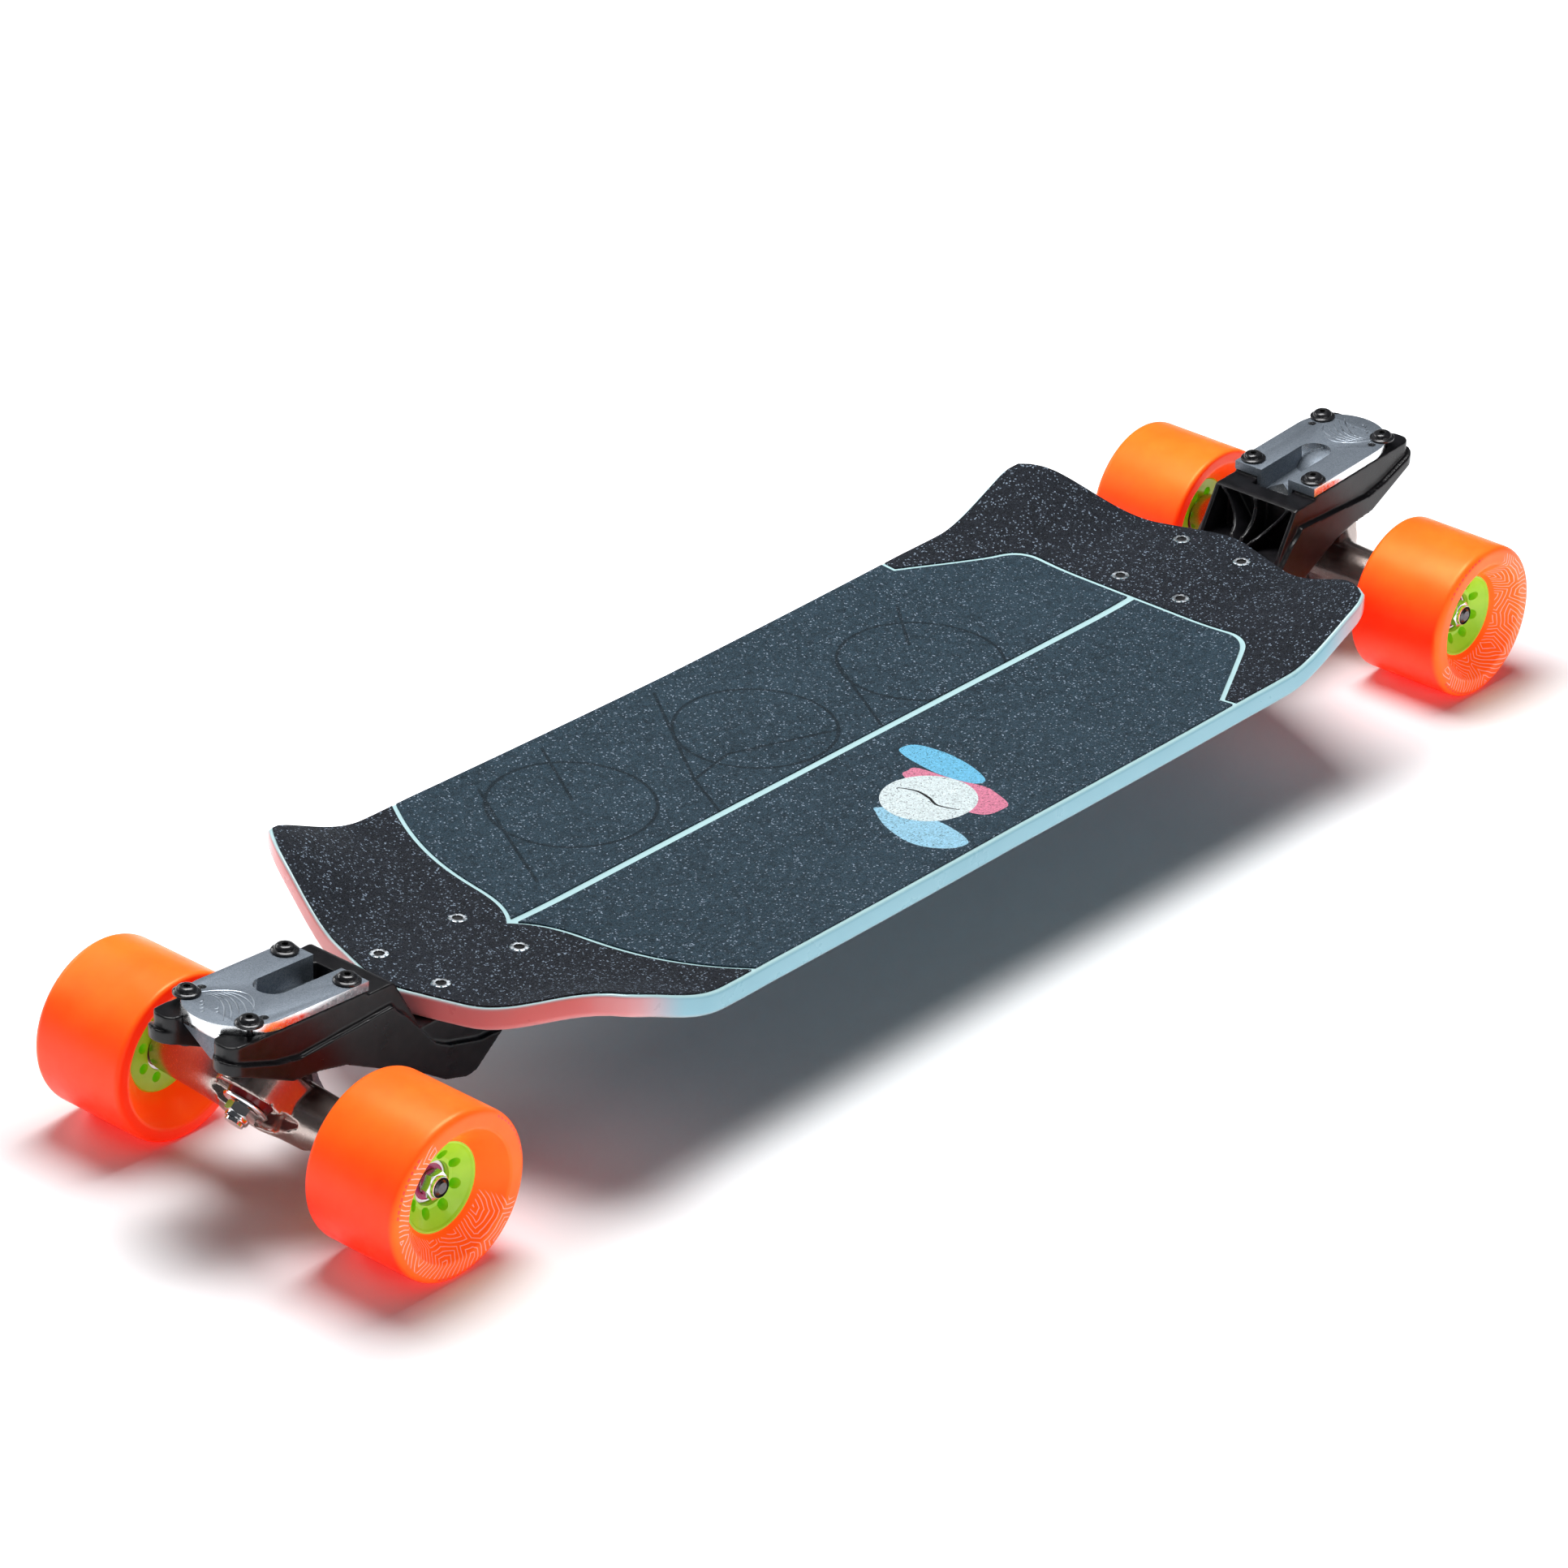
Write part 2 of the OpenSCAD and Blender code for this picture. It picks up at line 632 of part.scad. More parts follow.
// A wheel is drawn along +Z outwards from the centre plane, then laid on its side of the board
module tyre() {
    color([0.95, 0.35, 0.1]) rotate_extrude($fn = 96) polygon(concat(
        [[core_r, core_y[0] - 1], [35.4, wheel_in + 0.6], [36.8, wheel_in]],
        [for (a = [0 : 15 : 90]) [wheel_r - 5 + 5 * sin(a), wheel_in + 5 - 5 * cos(a)]],
        [for (a = [90 : -15 : 0]) [wheel_r - 5 + 5 * sin(a), wheel_out - 5 + 5 * cos(a)]],
        [[lip_r, wheel_out], [lip_r - 1.2, wheel_out - 0.6], [core_r, core_y[1]]]));
}
module core() {
    color([0.75, 0.9, 0.15]) difference() {
        rotate_extrude() polygon([
            [race_r[2], core_y[0]], [core_r - 1, core_y[0]], [core_r, core_y[0] + 1],
            [core_r, core_y[1]], [core_r - 1.2, core_y[1]], [core_r - 2.2, core_y[1] - 1],
            [13.2, core_y[1] - dish], [race_r[2] + 0.2, core_y[1] - dish],
            [race_r[2] + 0.2, bearing_y[1] + bearing_w], [race_r[2], bearing_y[1] + bearing_w],
            [race_r[2], bearing_y[1]], [9.6, bearing_y[1]],
            [9.6, bearing_y[0] + bearing_w], [race_r[2], bearing_y[0] + bearing_w]]);
        for (k = [0 : 7]) rotate([0, 0, 45 * k + 22.5]) translate([hole_circle, 0, core_y[0] - 1])
            cylinder(h = core_y[1] - core_y[0] + 2, r = hole_r, $fn = 32);
    }
}
module outer_races() {
    color([0.8, 0.81, 0.82]) for (y = bearing_y) translate([0, 0, y])
        tube(bearing_w, race_r[2], race_r[1]);
}
module shields() {
    color([0.75, 0.15, 0.4]) for (y = bearing_y, side = [0.3, bearing_w - 0.3 - shield_w])
        translate([0, 0, y + side]) tube(shield_w, race_r[1], race_r[0] + 0.3);
}
module balls() {
    color([0.85, 0.86, 0.87]) for (y = bearing_y, k = [0 : ball_count - 1])
        rotate([0, 0, 360 * k / ball_count]) translate([ball_circle, 0, y + bearing_w / 2])
            sphere(ball_r, $fn = 24);
}
module wheel_part(part) {
    if (part == "tyre") tyre();
    if (part == "core") core();
    if (part == "outer_races") outer_races();
    if (part == "shields") shields();
    if (part == "balls") balls();
}
module truck_part(part) {
    if (part == "bracket") bracket();
    if (part == "baseplate") baseplate();
    if (part == "kingpin") kingpin();
    if (part == "kingpin_nut") kingpin_nut();
    if (part == "cup_washers") cup_washers();
    if (part == "inner_bushing") inner_bushing();
    if (part == "outer_bushing") outer_bushing();
    if (part == "pivot_cup") pivot_cup();
    if (part == "hanger") hanger();
    if (part == "axle") axle();
    if (part == "axle_nuts") axle_nuts();
    if (part == "speed_rings") speed_rings();
    if (part == "inner_races") inner_races();
    if (part == "bearing_spacers") bearing_spacers();
}

// ---------- what is drawn ----------

deck();
end_grip("front");  // grip_front
end_grip("rear");  // grip_rear
centre_grip();  // grip_left
mirror([0, 1, 0]) centre_grip();  // grip_right
deck_screws();
deck_nuts();
truck_bolts();
truck_nuts();
for (e = ENDS, p = TRUCK_PARTS)
    at_end(e) truck_part(p);
for (e = ENDS, side = ["left", "right"], p = WHEEL_PARTS)
    at_end(e) translate([axle_x, 0, axle_z]) rotate([side == "left" ? -90 : 90, 0, 0])
            wheel_part(p);
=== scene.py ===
import math

import bmesh
import bpy
from mathutils import Matrix, Vector, geometry


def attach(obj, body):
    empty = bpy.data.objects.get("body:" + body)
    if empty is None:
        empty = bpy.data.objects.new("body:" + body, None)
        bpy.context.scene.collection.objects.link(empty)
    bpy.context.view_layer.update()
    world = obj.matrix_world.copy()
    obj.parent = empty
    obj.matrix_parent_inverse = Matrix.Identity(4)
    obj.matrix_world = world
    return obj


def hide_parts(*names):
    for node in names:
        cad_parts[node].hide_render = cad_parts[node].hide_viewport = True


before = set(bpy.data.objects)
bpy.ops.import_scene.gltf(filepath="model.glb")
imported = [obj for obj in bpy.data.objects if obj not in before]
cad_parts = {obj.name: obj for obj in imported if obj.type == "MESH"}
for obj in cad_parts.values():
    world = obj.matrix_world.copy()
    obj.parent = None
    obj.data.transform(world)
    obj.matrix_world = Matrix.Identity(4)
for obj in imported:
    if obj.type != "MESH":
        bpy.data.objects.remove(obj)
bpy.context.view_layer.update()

MM = 0.001
ENDS = ("front", "rear")
SIDES = ("left", "right")

# Driving dimensions of the board, in millimetres, as in the CAD model
DECK_HALF_LENGTH = 333.5
DECK_HALF_WIDTH = 120.8
DECK_THICKNESS = 12.5
DECK_HEIGHT = 74.2
GRIP_THICKNESS = 0.9
END_TILT = math.radians(2.93)
TILT_START, TILT_END = 205, 245
CONCAVE_DEPTH = 3
WING_RISE, WING_START, WING_RUN = 22, (223, 43), (82, 77)
DECK_BOLT_X = 285.5
DECK_PATTERN = (53.975, 41.275)
PLATE_X, PLATE_Z, PLATE_TILT = 406.43, 108.8, math.radians(3.77)
TRUCK_PATTERN = (63.5, 41.275)
RING_X, RING_Z, KINGPIN_SLOPE = 408.73, 62.31, math.radians(37.5)
AXLE_X = 402.85
WHEEL_R, WHEEL_IN, WHEEL_OUT = 43.5, 61.9, 120.6
CORE_R, CORE_IN, CORE_OUT = 23, 76, 108


# ---------- camera, floor and light ----------

# Half side of the floor, and half sizes of the part round the board that is left without the floor's painted glow, in
# metres
FLOOR_REACH = 25.0
GLOWLESS_HALF_LENGTH, GLOWLESS_HALF_WIDTH = 0.455, 0.128


def new_object(name, data):
    made = bpy.data.objects.new(name, data)
    bpy.context.scene.collection.objects.link(made)
    return made


def make_camera():
    """Camera that looks down by elevation, turned from +Y towards +X by azimuth."""
    position = (-2.0737, -1.7518, 1.5106)
    azimuth, elevation, roll = (math.radians(a) for a in (49.235, 28.184, 1.103))
    data = bpy.data.cameras.new("camera")
    data.lens = 137.6
    data.clip_end = 20
    camera = new_object("camera", data)
    camera.matrix_world = (Matrix.Translation(position) @ Matrix.Rotation(-azimuth, 4, "Z")
                           @ Matrix.Rotation(math.pi / 2 - elevation, 4, "X") @ Matrix.Rotation(roll, 4, "Z"))
    bpy.context.scene.camera = camera


def area_light(name, position, target, size, energy):
    data = bpy.data.lights.new(name, "AREA")
    data.shape = "RECTANGLE"
    data.size, data.size_y = size
    data.energy = energy
    direction = Vector(target) - Vector(position)
    turn = direction.to_track_quat("-Z", "Y").to_matrix().to_4x4()
    new_object(name, data).matrix_world = Matrix.Translation(position) @ turn


def make_studio():
    world = bpy.data.worlds.new("studio")
    bpy.context.scene.world = world
    world.use_nodes = True
    background = world.node_tree.nodes["Background"]
    background.inputs["Color"].default_value = (0.84, 0.92, 1.0, 1)
    background.inputs["Strength"].default_value = 0.06
    bpy.context.scene.view_settings.view_transform = "Standard"
    mesh = bpy.data.meshes.new("floor")
    r = FLOOR_REACH
    mesh.from_pydata([(-r, -r, 0), (r, -r, 0), (r, r, 0), (-r, r, 0)], [], [(0, 1, 2, 3)])
    mesh.materials.append(paper_material())
    new_object("floor", mesh)
    area_light("top_softbox", (0.17, 0.28, 1.6), (0.03, 0, 0), (1.15, 0.75), 32)
    area_light("back_strip", (-0.3, 1.7, 0.9), (0, 0, 0.05), (1.6, 0.4), 8)
    area_light("side_fill", (-0.5, -2.4, 0.6), (0, 0, 0.05), (1.8, 0.5), 7)
    area_light("front_fill", (-2.2, -1.0, 0.7), (0, 0, 0.05), (0.9, 0.7), 1.6)


def paper_material():
    """White paper that glows as painted light, though it is no lamp: no glow round the board, where its shadows fall,
    and more glow far off.
    """
    s = Shader("floor_paper", (0.93, 0.94, 0.95), roughness=0.7, specular=0.2)
    x, y = s.axes()[:2]
    beyond = [s.math("MAXIMUM", s.minus(s.math("ABSOLUTE", axis), half), 0.0)
              for axis, half in ((x, GLOWLESS_HALF_LENGTH), (y, GLOWLESS_HALF_WIDTH))]
    away = s.length(*beyond)
    # Painted light: the floor's own glow, rising from the board's edge outwards
    s.set("Emission Color", (0.97, 0.985, 1.0, 1))
    near, far = s.band(away, 0.0, 0.09, 0.0, 0.6), s.band(away, 1.2, 3.0, 0.0, 0.4)
    s.drive("Emission Strength", s.plus(near, far))
    return s.material


# ---------- materials ----------

def scaled(color, share):
    return tuple(min(1, c * share) for c in color)


class Shader:
    """A principled material, with short calls for the nodes that the materials share."""

    def __init__(self, name, color, roughness=0.5, metallic=0.0, coat=0.0, coat_roughness=0.05, specular=0.5):
        self.material = bpy.data.materials.new(name)
        self.material.use_nodes = True
        self.material.diffuse_color = (*color, 1)
        self.tree = self.material.node_tree
        self.surface = self.tree.nodes["Principled BSDF"]
        self.set("Base Color", (*color, 1))
        self.set("Roughness", roughness)
        self.set("Metallic", metallic)
        self.set("Coat Weight", coat)
        self.set("Coat Roughness", coat_roughness)
        self.set("Specular IOR Level", specular)
        self.place = self.tree.nodes.new("ShaderNodeTexCoord").outputs["Object"]

    def set(self, socket, value):
        self.surface.inputs[socket].default_value = value

    def node(self, kind, inputs=None, **settings):
        made = self.tree.nodes.new("ShaderNode" + kind)
        for key, value in settings.items():
            setattr(made, key, value)
        for key, value in (inputs or {}).items():
            self.feed(made.inputs[key], value)
        return made

    def feed(self, socket, value):
        if isinstance(value, bpy.types.NodeSocket):
            self.tree.links.new(value, socket)
        else:
            socket.default_value = value

    def drive(self, name, value):
        self.tree.links.new(value, self.surface.inputs[name])

    def math(self, operation, a, b=0.0, clamp=False):
        made = self.node("Math", operation=operation, use_clamp=clamp)
        self.feed(made.inputs[0], a)
        self.feed(made.inputs[1], b)
        return made.outputs[0]

    def noise(self, scale, detail=3.0, roughness=0.55):
        inputs = {"Scale": scale, "Detail": detail, "Roughness": roughness, "Vector": self.place}
        return self.node("TexNoise", inputs).outputs["Fac"]

    def cells(self, scale):
        """Distance to the nearest seed of a field of cells."""
        return self.node("TexVoronoi", {"Scale": scale, "Vector": self.place}).outputs["Distance"]

    def cell_values(self, scale):
        """Three random numbers for each cell."""
        cell = self.node("TexVoronoi", {"Scale": scale, "Vector": self.place}).outputs["Color"]
        return self.node("SeparateColor", {"Color": cell}).outputs

    def plus(self, a, b):
        return self.math("ADD", a, b)

    def minus(self, a, b):
        return self.math("SUBTRACT", a, b)

    def times(self, *values):
        product = values[0]
        for value in values[1:]:
            product = self.math("MULTIPLY", product, value)
        return product

    def band(self, value, low, high, to_low=0.0, to_high=1.0):
        """A soft step: to_low where the value is at low or before it, to_high where it is at high or past it."""
        inputs = {"Value": value, "From Min": low, "From Max": high, "To Min": to_low, "To Max": to_high}
        return self.node("MapRange", inputs, interpolation_type="SMOOTHSTEP").outputs["Result"]

    def vary_color(self, scale, low, high, detail=3, start=0.3, stop=0.7):
        self.drive("Base Color", self.mix(self.band(self.noise(scale, detail), start, stop), low, high))

    def vary_roughness(self, scale, low, high, detail=3, stop=0.7):
        self.drive("Roughness", self.band(self.noise(scale, detail), 0.3, stop, low, high))

    def texture(self, scale, detail, strength, distance):
        self.drive("Normal", self.bump(self.noise(scale, detail), strength, distance))

    def axes(self):
        return self.node("SeparateXYZ", {"Vector": self.place}).outputs

    def world_normal(self):
        normal = self.node("NewGeometry").outputs["Normal"]
        return self.node("SeparateXYZ", {"Vector": normal}).outputs

    def length(self, a, b):
        return self.math("SQRT", self.plus(self.math("POWER", a, 2.0), self.math("POWER", b, 2.0)))

    def distance(self, ax, ay, bx, by):
        """Distance in plan from the line between two points given in millimetres."""
        x, y = self.axes()[:2]
        dx, dy = (bx - ax) * MM, (by - ay) * MM
        px, py = self.minus(x, ax * MM), self.minus(y, ay * MM)
        length = dx * dx + dy * dy
        t = 0.0
        if length > 0:
            t = self.math("DIVIDE", self.plus(self.times(px, dx), self.times(py, dy)), length, clamp=True)
        return self.length(self.minus(px, self.times(t, dx)), self.minus(py, self.times(t, dy)))

    def mix(self, factor, a, b):
        made = self.node("Mix", data_type="RGBA")
        self.feed(made.inputs[0], factor)
        for socket, color in ((made.inputs[6], a), (made.inputs[7], b)):
            self.feed(socket, color if isinstance(color, bpy.types.NodeSocket) else (*color, 1))
        return made.outputs[2]

    def bump(self, height, strength, distance):
        inputs = {"Height": height, "Strength": strength, "Distance": distance}
        return self.node("Bump", inputs).outputs["Normal"]


def grit_material(name, base, painted_glint, painted_glint_share=0.1, rings=(), strokes=()):
    """Grit sheet: grains under a millimetre, each a little lighter or darker, and some painted pale blue-white as
    painted glints.
    Faint dark lines lie under the grit: rings (centre x, centre y, radius) and strokes (x, y to x, y),
    in millimetres."""
    s = Shader(name, base, roughness=0.8, specular=0.2)
    grain = s.cell_values(2100)
    coarse = s.cell_values(1350)
    patch = s.noise(260, detail=5, roughness=0.7)
    cloud = s.noise(18, detail=3)
    dark, light = scaled(base, 0.4), scaled(base, 1.9)
    tone = s.mix(grain[0], dark, light)
    tone = s.mix(s.band(coarse[0], 0.55, 1.0, 0, 0.55), tone, light)
    tone = s.mix(s.band(patch, 0.4, 0.7, 0, 0.7), tone, dark)
    tone = s.mix(s.band(cloud, 0.35, 0.75, 0, 0.2), tone, light)
    # Painted glints: a share of the grains takes the pale glint colour
    tone = s.mix(s.band(coarse[1], 1 - painted_glint_share, 1), tone, painted_glint)
    away = [s.math("ABSOLUTE", s.minus(s.distance(x, y, x, y), radius * MM)) for x, y, radius in rings]
    away += [s.distance(*stroke) for stroke in strokes]
    ink = 0.0
    for gap in away:
        ink = s.math("MAXIMUM", ink, s.band(gap, 0.0013, 0.0006))
    if away:
        tone = s.mix(s.times(ink, 0.7), tone, scaled(base, 0.3))
    s.drive("Base Color", tone)
    s.drive("Roughness", s.band(grain[2], 0.0, 1.0, 0.55, 0.95))
    rough = s.plus(s.times(s.cells(2100), -1.0), s.times(patch, 0.6))
    s.drive("Normal", s.bump(rough, 0.8, 0.0005))
    return s.material


def deck_material():
    """Enamel: aqua on the rails, salmon pink on the end edges, fine orange peel; painted light: a paler aqua on faces
    that turn up, as painted highlight, and paler lower faces of the edge, as painted bounce light from the floor.
    """
    s = Shader("deck_enamel", (0.42, 0.70, 0.78), roughness=0.32, coat=0.35, coat_roughness=0.12)
    end, side = (s.math("ABSOLUTE", axis) for axis in s.axes()[:2])
    aqua = s.mix(s.band(s.noise(9, 2), 0.3, 0.7), (0.275, 0.595, 0.72), (0.32, 0.645, 0.765))
    aqua = s.mix(s.band(end, 0.26, 0.33, 0, 0.35), aqua, (0.19, 0.48, 0.63))
    pink = s.mix(s.band(s.noise(14, 2), 0.3, 0.7), (0.92, 0.30, 0.31), (0.96, 0.40, 0.40))
    on_end = s.band(s.plus(end, s.times(side, 0.42)), 0.3, 0.345)
    tone = s.mix(on_end, aqua, pink)
    normal_z = s.world_normal()[2]
    # Painted highlight: faces that turn up get a paler aqua
    tone = s.mix(s.band(normal_z, 0.25, 0.9), tone, (0.52, 0.77, 0.80))
    # Painted bounce light: faces of the edge that turn down get paler, pale pink on the ends
    bounce_pale = s.mix(on_end, (0.62, 0.80, 0.86), (0.96, 0.52, 0.52))
    tone = s.mix(s.band(normal_z, -0.15, -0.75), tone, bounce_pale)
    under = s.mix(s.band(s.noise(6, 3), 0.35, 0.65), (0.035, 0.12, 0.17), (0.05, 0.17, 0.23))
    tone = s.mix(s.band(normal_z, -0.93, -0.99), tone, under)
    s.drive("Base Color", tone)
    s.vary_roughness(60, 0.26, 0.42, detail=4)
    s.texture(420, 3, 0.06, 0.0006)
    return s.material


def print_material(name, color):
    """Ink printed over the grit."""
    s = Shader(name, color, roughness=0.8, specular=0.3)
    grain = s.cell_values(1500)
    tone = s.mix(grain[0], scaled(color, 0.72), scaled(color, 1.12))
    s.drive("Base Color", s.mix(s.band(grain[1], 0.9, 0.97), tone, scaled(color, 0.35)))
    s.drive("Normal", s.bump(s.times(s.cells(1500), -1.0), 0.8, 0.0005))
    return s.material


# Cells to a metre, and millimetres between two contours, of the print on the wheels
PRINT_SCALE, PRINT_PITCH = 48.0, 2.1


def contour_lines(s, turn, radius, y):
    """Nested angular contours, wrapped round the outer cone of a wheel."""
    flat = s.node("CombineXYZ", {"X": s.times(turn, 0.031), "Y": s.plus(radius, s.times(y, 0.35))})
    bend = s.node("TexNoise", {"Scale": 90.0, "Detail": 1.0, "Vector": flat.outputs[0]})
    place = s.node("VectorMath", operation="MULTIPLY_ADD")
    s.feed(place.inputs[0], bend.outputs["Color"])
    s.feed(place.inputs[1], (0.004, 0.004, 0.0))
    s.feed(place.inputs[2], flat.outputs[0])
    nest = s.node("TexVoronoi", {"Scale": PRINT_SCALE, "Vector": place.outputs[0]},
                  feature="DISTANCE_TO_EDGE", voronoi_dimensions="2D")
    field = s.times(nest.outputs["Distance"], 1 / MM / PRINT_SCALE / PRINT_PITCH)
    return s.band(s.math("ABSOLUTE", s.minus(s.math("FRACT", field), 0.5)), 0.14, 0.07)


def urethane_material():
    """Cast urethane: satin gloss, a contour print on the outer cone; painted light: a red glow from within, though it
    is no lamp, and a paler orange as painted highlight on faces that turn up and on the outer face, over a deeper red
    as painted shade.
    """
    s = Shader("wheel_urethane", (0.95, 0.10, 0.010), roughness=0.38, specular=0.8)
    s.set("Specular Tint", (1.0, 0.62, 0.25, 1))
    s.set("Subsurface Weight", 0.3)
    s.set("Subsurface Radius", (0.010, 0.0022, 0.0004))
    s.set("Subsurface Scale", 1.0)
    # Painted light: a steady red glow, though the urethane is no lamp
    s.set("Emission Color", (1.0, 0.012, 0.0, 1))
    s.set("Emission Strength", 0.48)
    x, y, z = s.axes()
    radius = s.length(x, z)
    turn = s.math("ARCTAN2", z, x)
    cloud = s.band(s.noise(28, 3), 0.3, 0.7)
    painted_shade_red = s.mix(cloud, (0.90, 0.020, 0.002), (0.96, 0.034, 0.003))
    painted_highlight_orange = s.mix(cloud, (0.96, 0.21, 0.016), (1.0, 0.26, 0.022))
    # Painted highlight: faces that turn up, and the outer face and lip, get the paler orange; the rest keeps the
    # deeper red of painted shade
    skyward = s.band(s.world_normal()[2], 0.1, 0.95)
    face = s.math("MAXIMUM", s.band(y, 0.0245, 0.0290), s.band(radius, 0.0380, 0.0345))
    tone = s.mix(s.math("MAXIMUM", skyward, s.times(face, 0.85)), painted_shade_red, painted_highlight_orange)
    outside = s.band(y, 0.0155, 0.0165)
    ring = s.times(s.band(radius, 0.0248, 0.0252), s.band(radius, 0.0405, 0.0398))
    sector = s.band(s.math("COSINE", s.plus(turn, math.radians(45))), -0.38, -0.30)
    printed = s.times(contour_lines(s, turn, radius, y), outside, ring, sector)
    tone = s.mix(s.times(printed, 0.95), tone, (1.0, 0.72, 0.64))
    lip = s.times(outside, s.band(radius, 0.0405, 0.0407), s.band(radius, 0.0417, 0.0415))
    dash = s.band(s.math("FRACT", s.plus(s.times(turn, 13.0), s.noise(140, 1))), 0.42, 0.5)
    arc = s.band(s.math("SINE", s.times(turn, 3.0)), 0.35, 0.42)
    s.drive("Base Color", s.mix(s.times(lip, dash, arc, 0.7), tone, (0.55, 0.01, 0.09)))
    s.vary_roughness(90, 0.34, 0.44, detail=4, stop=0.75)
    s.texture(700, 2, 0.04, 0.0003)
    return s.material


def core_material():
    s = Shader("core_lime", (0.36, 0.78, 0.03), roughness=0.35, coat=0.2)
    # Painted light: a faint green glow, though the core is no lamp
    s.set("Emission Color", (0.25, 0.9, 0.0, 1))
    s.set("Emission Strength", 0.06)
    s.set("Subsurface Weight", 0.15)
    s.set("Subsurface Radius", (0.002, 0.003, 0.0004))
    s.set("Subsurface Scale", 1.0)
    s.vary_color(60, (0.41, 0.88, 0.026), (0.51, 0.96, 0.045))
    s.vary_roughness(160, 0.28, 0.45)
    s.texture(900, 2, 0.08, 0.0004)
    return s.material


def bracket_material():
    """Satin black: fine cast texture under an even coat."""
    s = Shader("bracket_satin_black", (0.008, 0.008, 0.009), roughness=0.32, specular=0.34, coat=0.05,
               coat_roughness=0.25)
    s.vary_color(140, (0.005, 0.005, 0.006), (0.011, 0.010, 0.012), detail=4, start=0.35)
    s.vary_roughness(45, 0.27, 0.38, detail=4)
    s.texture(1500, 3, 0.18, 0.0004)
    return s.material


def blasted_material():
    """Blasted aluminium: an even, fine matt grain."""
    s = Shader("plate_blasted", (0.30, 0.34, 0.39), roughness=0.58, metallic=0.75)
    fine = s.noise(1900, 3)
    grain = s.cell_values(2300)
    tone = s.mix(grain[0], (0.14, 0.17, 0.205), (0.235, 0.27, 0.315))
    s.drive("Base Color", s.mix(s.band(fine, 0.4, 0.7, 0, 0.6), tone, (0.31, 0.345, 0.39)))
    s.drive("Roughness", s.band(grain[1], 0, 1, 0.5, 0.64))
    s.drive("Normal", s.bump(fine, 0.35, 0.0003))
    return s.material


def bright_edge_material():
    """Cut edges of the baseplate, brighter than its blasted faces."""
    s = Shader("plate_cut_edge", (0.86, 0.88, 0.9), roughness=0.22, metallic=1.0)
    s.vary_color(200, (0.78, 0.8, 0.82), (0.93, 0.94, 0.95))
    s.vary_roughness(500, 0.16, 0.3)
    return s.material


def hanger_material():
    """Pewter with a faint bronze cast and a fine metallic sparkle."""
    s = Shader("hanger_pewter", (0.50, 0.42, 0.38), roughness=0.28, metallic=0.92)
    flake = s.cell_values(2200)
    tone = s.mix(flake[0], (0.47, 0.385, 0.355), (0.55, 0.46, 0.42))
    s.drive("Base Color", s.mix(s.band(flake[1], 0.93, 0.98), tone, (0.70, 0.62, 0.58)))
    s.drive("Roughness", s.band(flake[2], 0, 1, 0.2, 0.26))
    s.texture(1700, 2, 0.03, 0.0002)
    return s.material


def steel_material(name, color, roughness, ring_scale=0.0):
    """Bright metal with soft handling marks, and turning rings where it was turned."""
    s = Shader(name, color, roughness=roughness, metallic=1.0)
    s.vary_color(120, scaled(color, 0.88), color, detail=4)
    s.vary_roughness(260, roughness * 0.7, roughness * 1.5, detail=4, stop=0.75)
    if ring_scale:
        s.texture(ring_scale, 2, 0.1, 0.0002)
    return s.material


def black_steel_material():
    s = Shader("bolt_black_oxide", (0.016, 0.016, 0.018), roughness=0.24, metallic=0.3, coat=0.3, coat_roughness=0.15)
    s.vary_color(200, (0.012, 0.012, 0.014), (0.03, 0.03, 0.033))
    s.vary_roughness(300, 0.18, 0.36)
    return s.material


def soft_plastic_material(name, low, high, roughness, coat=0.3):
    s = Shader(name, high, roughness=roughness, coat=coat, coat_roughness=0.08)
    s.vary_color(70, low, high)
    s.vary_roughness(200, roughness * 0.75, roughness * 1.3)
    s.texture(900, 2, 0.08, 0.0003)
    return s.material


# ---------- mesh helpers ----------

def along(y):
    """Shift along the local Y axis, in millimetres."""
    return Matrix.Translation((0, y * MM, 0))


def mesh_from(bm, name, outward=True):
    """The bmesh as a new mesh, its faces turned outward if asked; the bmesh is freed."""
    if outward:
        bmesh.ops.recalc_face_normals(bm, faces=bm.faces)
    mesh = bpy.data.meshes.new(name)
    bm.to_mesh(mesh)
    bm.free()
    return mesh


def finish_mesh(mesh, sharp=35):
    mesh.validate()
    mesh.shade_smooth()
    mesh.set_sharp_from_angle(angle=math.radians(sharp))
    mesh.update()
    return mesh


def add_piece(name, mesh, materials, body, node, matrix=Matrix()):
    """A finished piece: its materials, the body it rides on and the CAD node it stands for."""
    if not mesh.materials:
        for material in materials:
            mesh.materials.append(material)
    piece = new_object(name, mesh)
    piece.matrix_world = matrix
    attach(piece, body)
    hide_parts(node)


def rounded(points, radii, steps=3):
    """Closed outline with each corner rounded: radii is one number, or one for each corner."""
    n = len(points)
    if not isinstance(radii, (list, tuple)):
        radii = [radii] * n
    out = []
    for i, radius in enumerate(radii):
        here, before, after = (Vector(points[k % n]) for k in (i, i - 1, i + 1))
        a, b = before - here, after - here
        angle = a.angle(b, math.pi)
        if radius <= 0 or angle > math.radians(176):
            out.append(tuple(here))
            continue
        cut = min(radius / math.tan(angle / 2), 0.49 * a.length, 0.49 * b.length)
        start, end = here + a.normalized() * cut, here + b.normalized() * cut
        for k in range(steps + 1):
            t = k / steps
            out.append(tuple((1 - t) ** 2 * start + 2 * t * (1 - t) * here + t * t * end))
    return out


